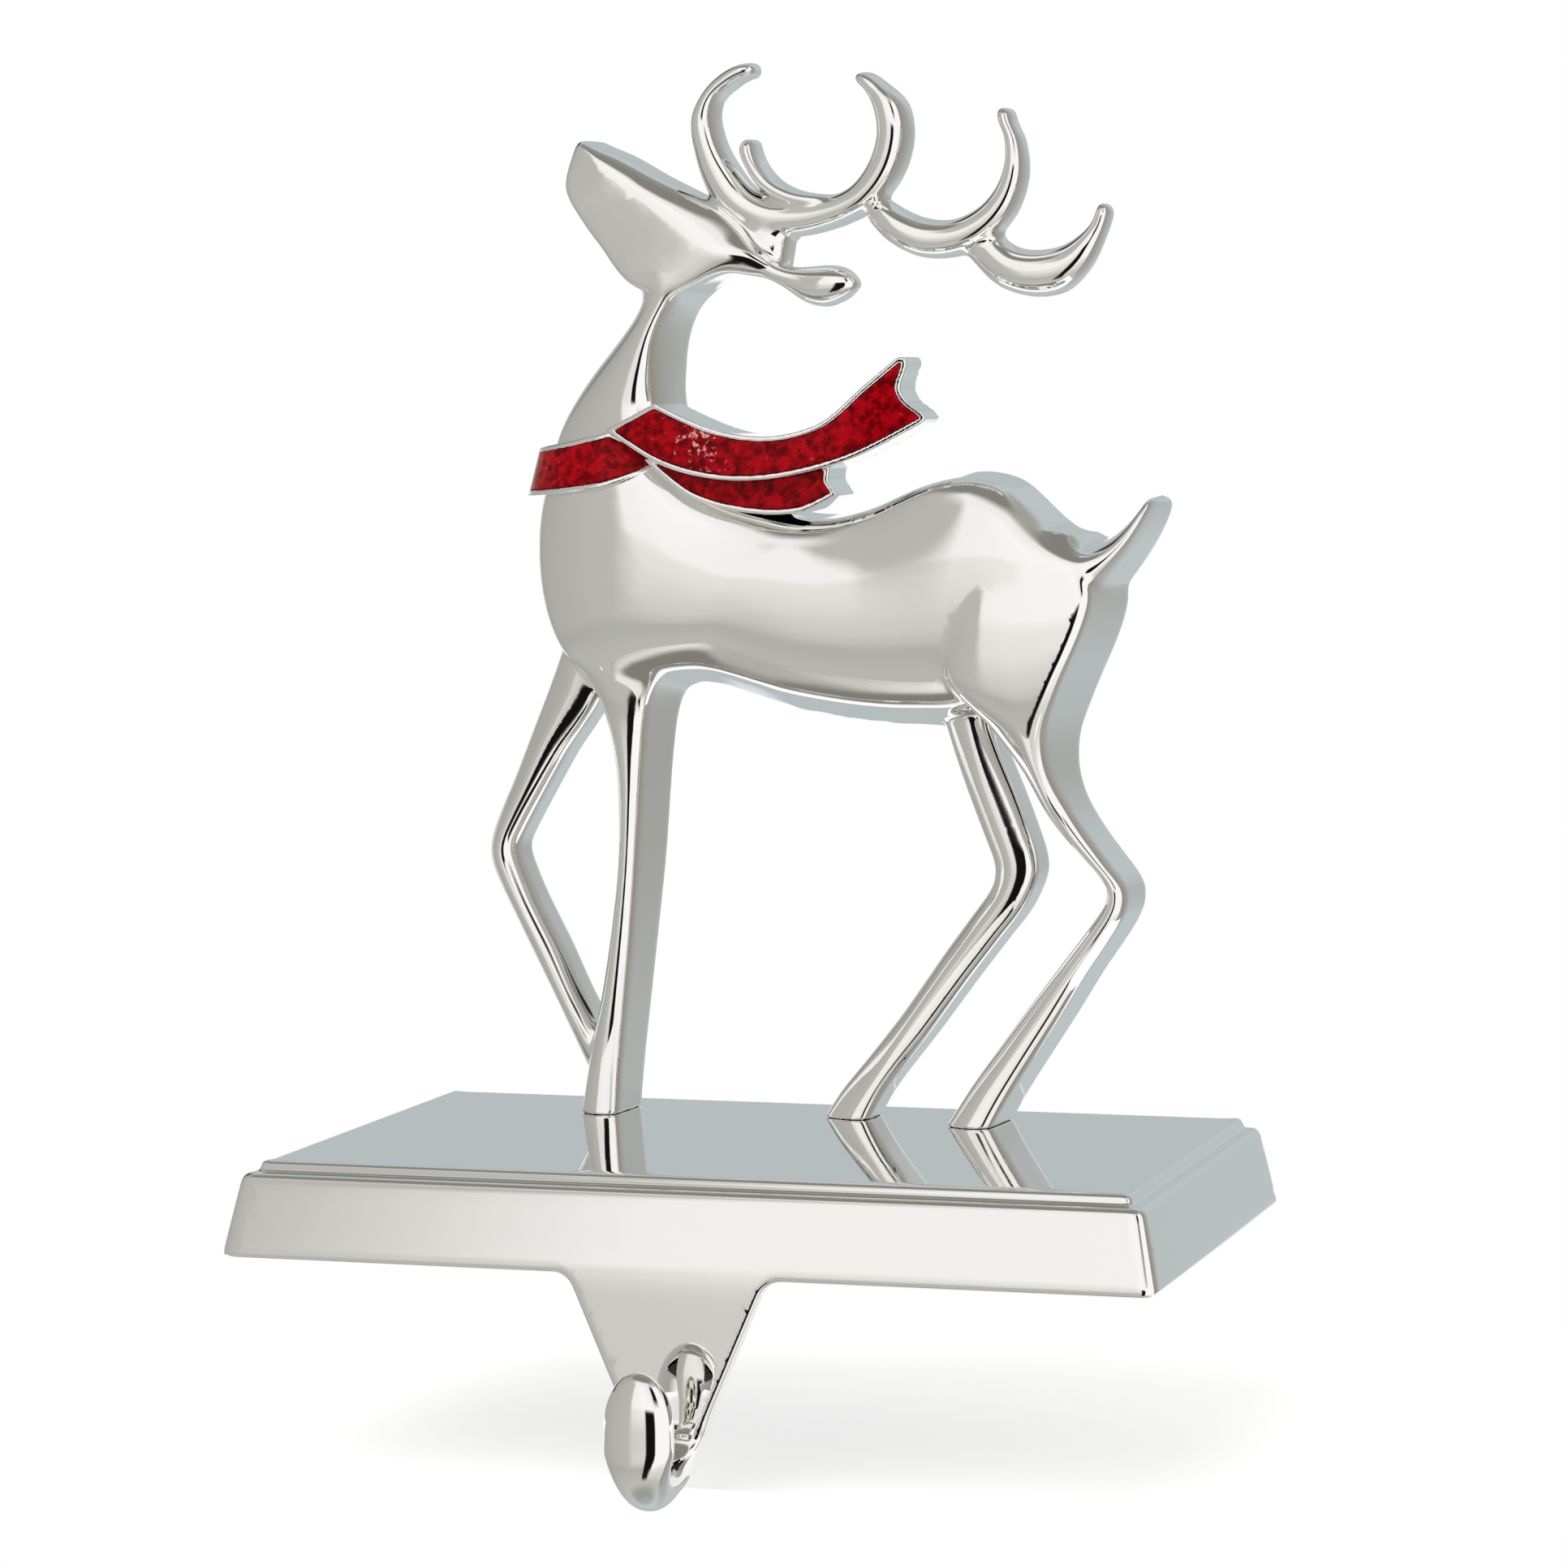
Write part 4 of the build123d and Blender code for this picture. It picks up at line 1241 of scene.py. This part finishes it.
@dataclass
class Studio:
    """Camera, floor sheet, light tent and lamp."""

    eye: tuple[float, float, float] = (205.89, -696.20, 117.19)
    aim: tuple[float, float, float] = (3.0, 0.0, 63.3)
    roll: float = -0.23
    lens: float = 120.41
    sensor: float = 36.0
    clip_start: float = 0.01
    floor_z: float = -29.3
    floor_low: tuple[float, float] = (-120.0, -32.0)
    floor_high: tuple[float, float] = (140.0, 120.0)
    floor_colour: str = "B8B8B4"
    floor_glow: float = 0.76
    lamp_turn: tuple[float, float, float] = (38.0, 0.0, -18.0)
    lamp_power: float = 1.5
    lamp_angle: float = 50.0
    rings: tuple[Ring, ...] = (
        plain(-80, "A8ACAE", 100, "A0A09C"),
        plain(-56, "C3CCD0", 100, "C0C0BC"),
        Ring(-44, ((-180, "BEC6CA"), (-100, "B8B8B4"), (5, "BCBCB8"), (9, "1E1C1A"), (24, "1E1C1A"),
                   (30, "D8D8D4"), (99, "D8D8D4"), (110, "9A948C"), (140, "B0B0AC"), (180, "BEC6CA"))),
        Ring(-26, (*GREY_BACK_LEFT, (-126, "A8A8A4"), (-60, "B0B0AC"), (8, "B8B8B4"), (11, DOORWAY),
                   (30, DOORWAY), (35, WHITE), (99, WHITE), (105, "A29A92"), (116, "A29A92"), *RIGHT_END,
                   *GREY_BACK_RIGHT)),
        Ring(-17, (*GREY_BACK_LEFT, *LEFT, (-26, "BDBCB8"), (-17, "C8C8C4"), *doorway("CCCCC8", DOORWAY),
                   *RIGHT, *GREY_BACK_RIGHT)),
        Ring(-13.5, (*WHITE_BACK_LEFT, *LEFT, (-26, "BDBCB8"), (-17, "D0D0CD"), *doorway("D6D6D2", DOORWAY),
                     *RIGHT, *WHITE_BACK_RIGHT)),
        Ring(5.2, (*WHITE_BACK_LEFT, *LEFT, (-23, "BDBCB8"), (-17, "E8E7E4"), *doorway("F0F0EC", DOORWAY),
                   *RIGHT, *WHITE_BACK_RIGHT)),
        Ring(6.8, (*GREY_BACK_LEFT, *LEFT, (-23, "BDBCB8"), (-17, "EAE9E6"), *doorway("F2F2EE", "2A2826"),
                   *RIGHT, *GREY_BACK_RIGHT)),
        Ring(12, (*GREY_BACK_LEFT, *LEFT, *BRIGHT_FRONT, *RIGHT, *GREY_BACK_RIGHT)),
        upper(26, "6A6A68", "F4F4F0"),
        upper(44, "1C1C1C", "F0F0EC"),
        Ring(55, ((-180, "BEC7C9"), (-150, "BEC7C9"), (-90, "A8A8A4"), (-40, "BDBCB8"), (-22, "F4F4F2"),
                  (36, "F4F4F2"), (60, "C8C8C4"), (120, "A0A09C"), (160, "BEC7C9"), (180, "BEC7C9"))),
        plain(66, "969894", 90, "868480"),
    )

    def camera(self) -> None:
        """Place the camera at the photograph's viewing angle."""
        data = bpy.data.cameras.new("camera")
        data.lens = self.lens
        data.sensor_width = self.sensor
        holder = bpy.data.objects.new("camera", data)
        away = Vector(self.aim) - Vector(self.eye)
        turn = away.to_track_quat("-Z", "Y").to_matrix() @ Matrix.Rotation(math.radians(self.roll), 3, "Z")
        holder.matrix_world = Matrix.Translation(Vector(self.eye) * MM) @ turn.to_4x4()
        data.clip_start = self.clip_start
        bpy.context.scene.collection.objects.link(holder)
        bpy.context.scene.camera = holder

    @staticmethod
    def ramp(tree: NodeTree, place: NodeSocket, ring: Ring) -> NodeSocket:
        """Add the tones of one ring.

        Args:
            tree: The world's node tree.
            place: The azimuth as a share of the whole turn, from behind over the left.
            ring: The ring.

        Returns:
            The colour's socket.
        """
        node = add_node(tree, "ShaderNodeValToRGB", None, {"Fac": place})
        stops = node.color_ramp.elements
        for _ in ring.stops[2:]:
            stops.new(0.5)
        for stop, (azimuth, colour) in zip(stops, ring.stops):
            stop.position = (azimuth + 180) / 360
            stop.color = linear(colour)
        return node.outputs["Color"]

    def tent(self) -> None:
        """Light the world as a tent of soft panels and flags, white behind the object for every ray."""
        world = bpy.data.worlds.new("studio_tent")
        bpy.context.scene.world = world
        world.use_nodes = True
        tree = world.node_tree
        tree.nodes.clear()
        way = add_node(tree, "ShaderNodeTexCoord")
        split = add_node(tree, "ShaderNodeSeparateXYZ", None, {"Vector": way.outputs["Generated"]})
        front = add_node(tree, "ShaderNodeMath", {"operation": "MULTIPLY"}, {0: split.outputs["Y"]})
        front.inputs[1].default_value = -1.0
        turn = add_node(tree, "ShaderNodeMath", {"operation": "ARCTAN2"},
                        {0: split.outputs["X"], 1: front.outputs["Value"]})
        place = add_node(tree, "ShaderNodeMapRange", None, {"Value": turn.outputs["Value"]},
                         From_Min=-math.pi, From_Max=math.pi)
        colour = self.ramp(tree, place.outputs["Result"], self.rings[0])
        for below, ring in zip(self.rings, self.rings[1:]):
            share = add_node(tree, "ShaderNodeMapRange", {"interpolation_type": "SMOOTHSTEP"},
                             {"Value": split.outputs["Z"]}, From_Min=math.sin(math.radians(below.elevation)),
                             From_Max=math.sin(math.radians(ring.elevation)))
            tones = self.ramp(tree, place.outputs["Result"], ring)
            mixed = add_node(tree, "ShaderNodeMix", {"data_type": "RGBA"},
                             {"Factor": share.outputs["Result"], "A": colour, "B": tones})
            colour = mixed.outputs["Result"]
        glow = add_node(tree, "ShaderNodeBackground", None, {"Color": colour}, Strength=1.0)
        add_node(tree, "ShaderNodeOutputWorld", links={"Surface": glow.outputs["Background"]})

    def lamp(self) -> None:
        """Hang a broad soft lamp above and in front, which the plating does not show."""
        data = bpy.data.lights.new("soft_lamp", "SUN")
        data.energy = self.lamp_power
        data.angle = math.radians(self.lamp_angle)
        holder = bpy.data.objects.new("soft_lamp", data)
        holder.rotation_euler = [math.radians(a) for a in self.lamp_turn]
        holder.visible_glossy = False
        bpy.context.scene.collection.objects.link(holder)

    def floor(self) -> None:
        """Lay the pale floor sheet, which looks white but for the object's shadow."""
        (x0, y0), (x1, y1) = self.floor_low, self.floor_high
        mesh = bpy.data.meshes.new("studio_floor")
        corners = [(x0, y0), (x1, y0), (x1, y1), (x0, y1)]
        mesh.from_pydata([Vector((x, y, self.floor_z)) * MM for x, y in corners], [], [(0, 1, 2, 3)])
        sheet = bpy.data.objects.new("studio_floor", mesh)
        bpy.context.scene.collection.objects.link(sheet)
        graph = Graph("matt_paper_floor_sheet")
        tree = graph.tree
        paint = add_node(tree, "ShaderNodeBsdfDiffuse", Color=linear(self.floor_colour))
        white = add_node(tree, "ShaderNodeEmission", Color=(1, 1, 1, 1), Strength=self.floor_glow)
        both = add_node(tree, "ShaderNodeAddShader", None,
                        {0: paint.outputs["BSDF"], 1: white.outputs["Emission"]})
        ray = add_node(tree, "ShaderNodeLightPath")
        seen = ray.outputs["Is Camera Ray"]
        for kind in ("Is Glossy Ray", "Is Transmission Ray"):
            more = add_node(tree, "ShaderNodeMath", {"operation": "MAXIMUM"}, {0: seen, 1: ray.outputs[kind]})
            seen = more.outputs["Value"]
        shown = add_node(tree, "ShaderNodeMixShader", None, {
            "Fac": seen, 1: paint.outputs["BSDF"], 2: both.outputs["Shader"]})
        add_node(tree, "ShaderNodeOutputMaterial", links={"Surface": shown.outputs["Shader"]})
        mesh.materials.append(graph.material)

    def build(self) -> None:
        """Set up everything around the object."""
        self.camera()
        self.tent()
        self.lamp()
        self.floor()


def dress(piece: Object, material: Material, surface: Surface, *nodes: str) -> None:
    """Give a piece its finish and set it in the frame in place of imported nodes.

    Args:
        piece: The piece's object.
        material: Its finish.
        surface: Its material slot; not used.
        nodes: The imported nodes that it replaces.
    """
    piece.data.materials.clear()
    piece.data.materials.append(material)
    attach(piece, ROOT)
    if nodes:
        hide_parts(*nodes)
    LOG.info("%s: %d faces", piece.name, len(piece.data.polygons))


def coat(node: Object, material: Material) -> None:
    """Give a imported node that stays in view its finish.

    Args:
        node: The node's object.
        material: Its finish.
    """
    for slot in node.material_slots:
        slot.material = material
    LOG.info("%s: packed node, %s", node.name, material.name)


def main() -> None:
    """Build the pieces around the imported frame."""
    logging.basicConfig(level=logging.INFO, format="%(message)s")
    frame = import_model()
    bpy.context.scene.view_settings.view_transform = "Standard"
    Studio().build()
    nickel = PolishedNickel().make()
    dress(Reindeer().build(), nickel, Surface.PLATED, "reindeer")
    dress(Base().build(), nickel, Surface.PLATED, "base")
    rims, fills = Scarf().build()
    dress(rims, nickel, Surface.PLATED)
    enamel = RedEnamel().make()
    for node, fill in fills:
        dress(fill, enamel, Surface.ENAMEL, node)
    for node, finish in (("foot_screws", ZincPlatedSteel()), ("non_slip_pad", ClosedCellFoam())):
        coat(frame["nodes"][node], finish.make())
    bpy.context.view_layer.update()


if __name__ == "__main__":
    main()
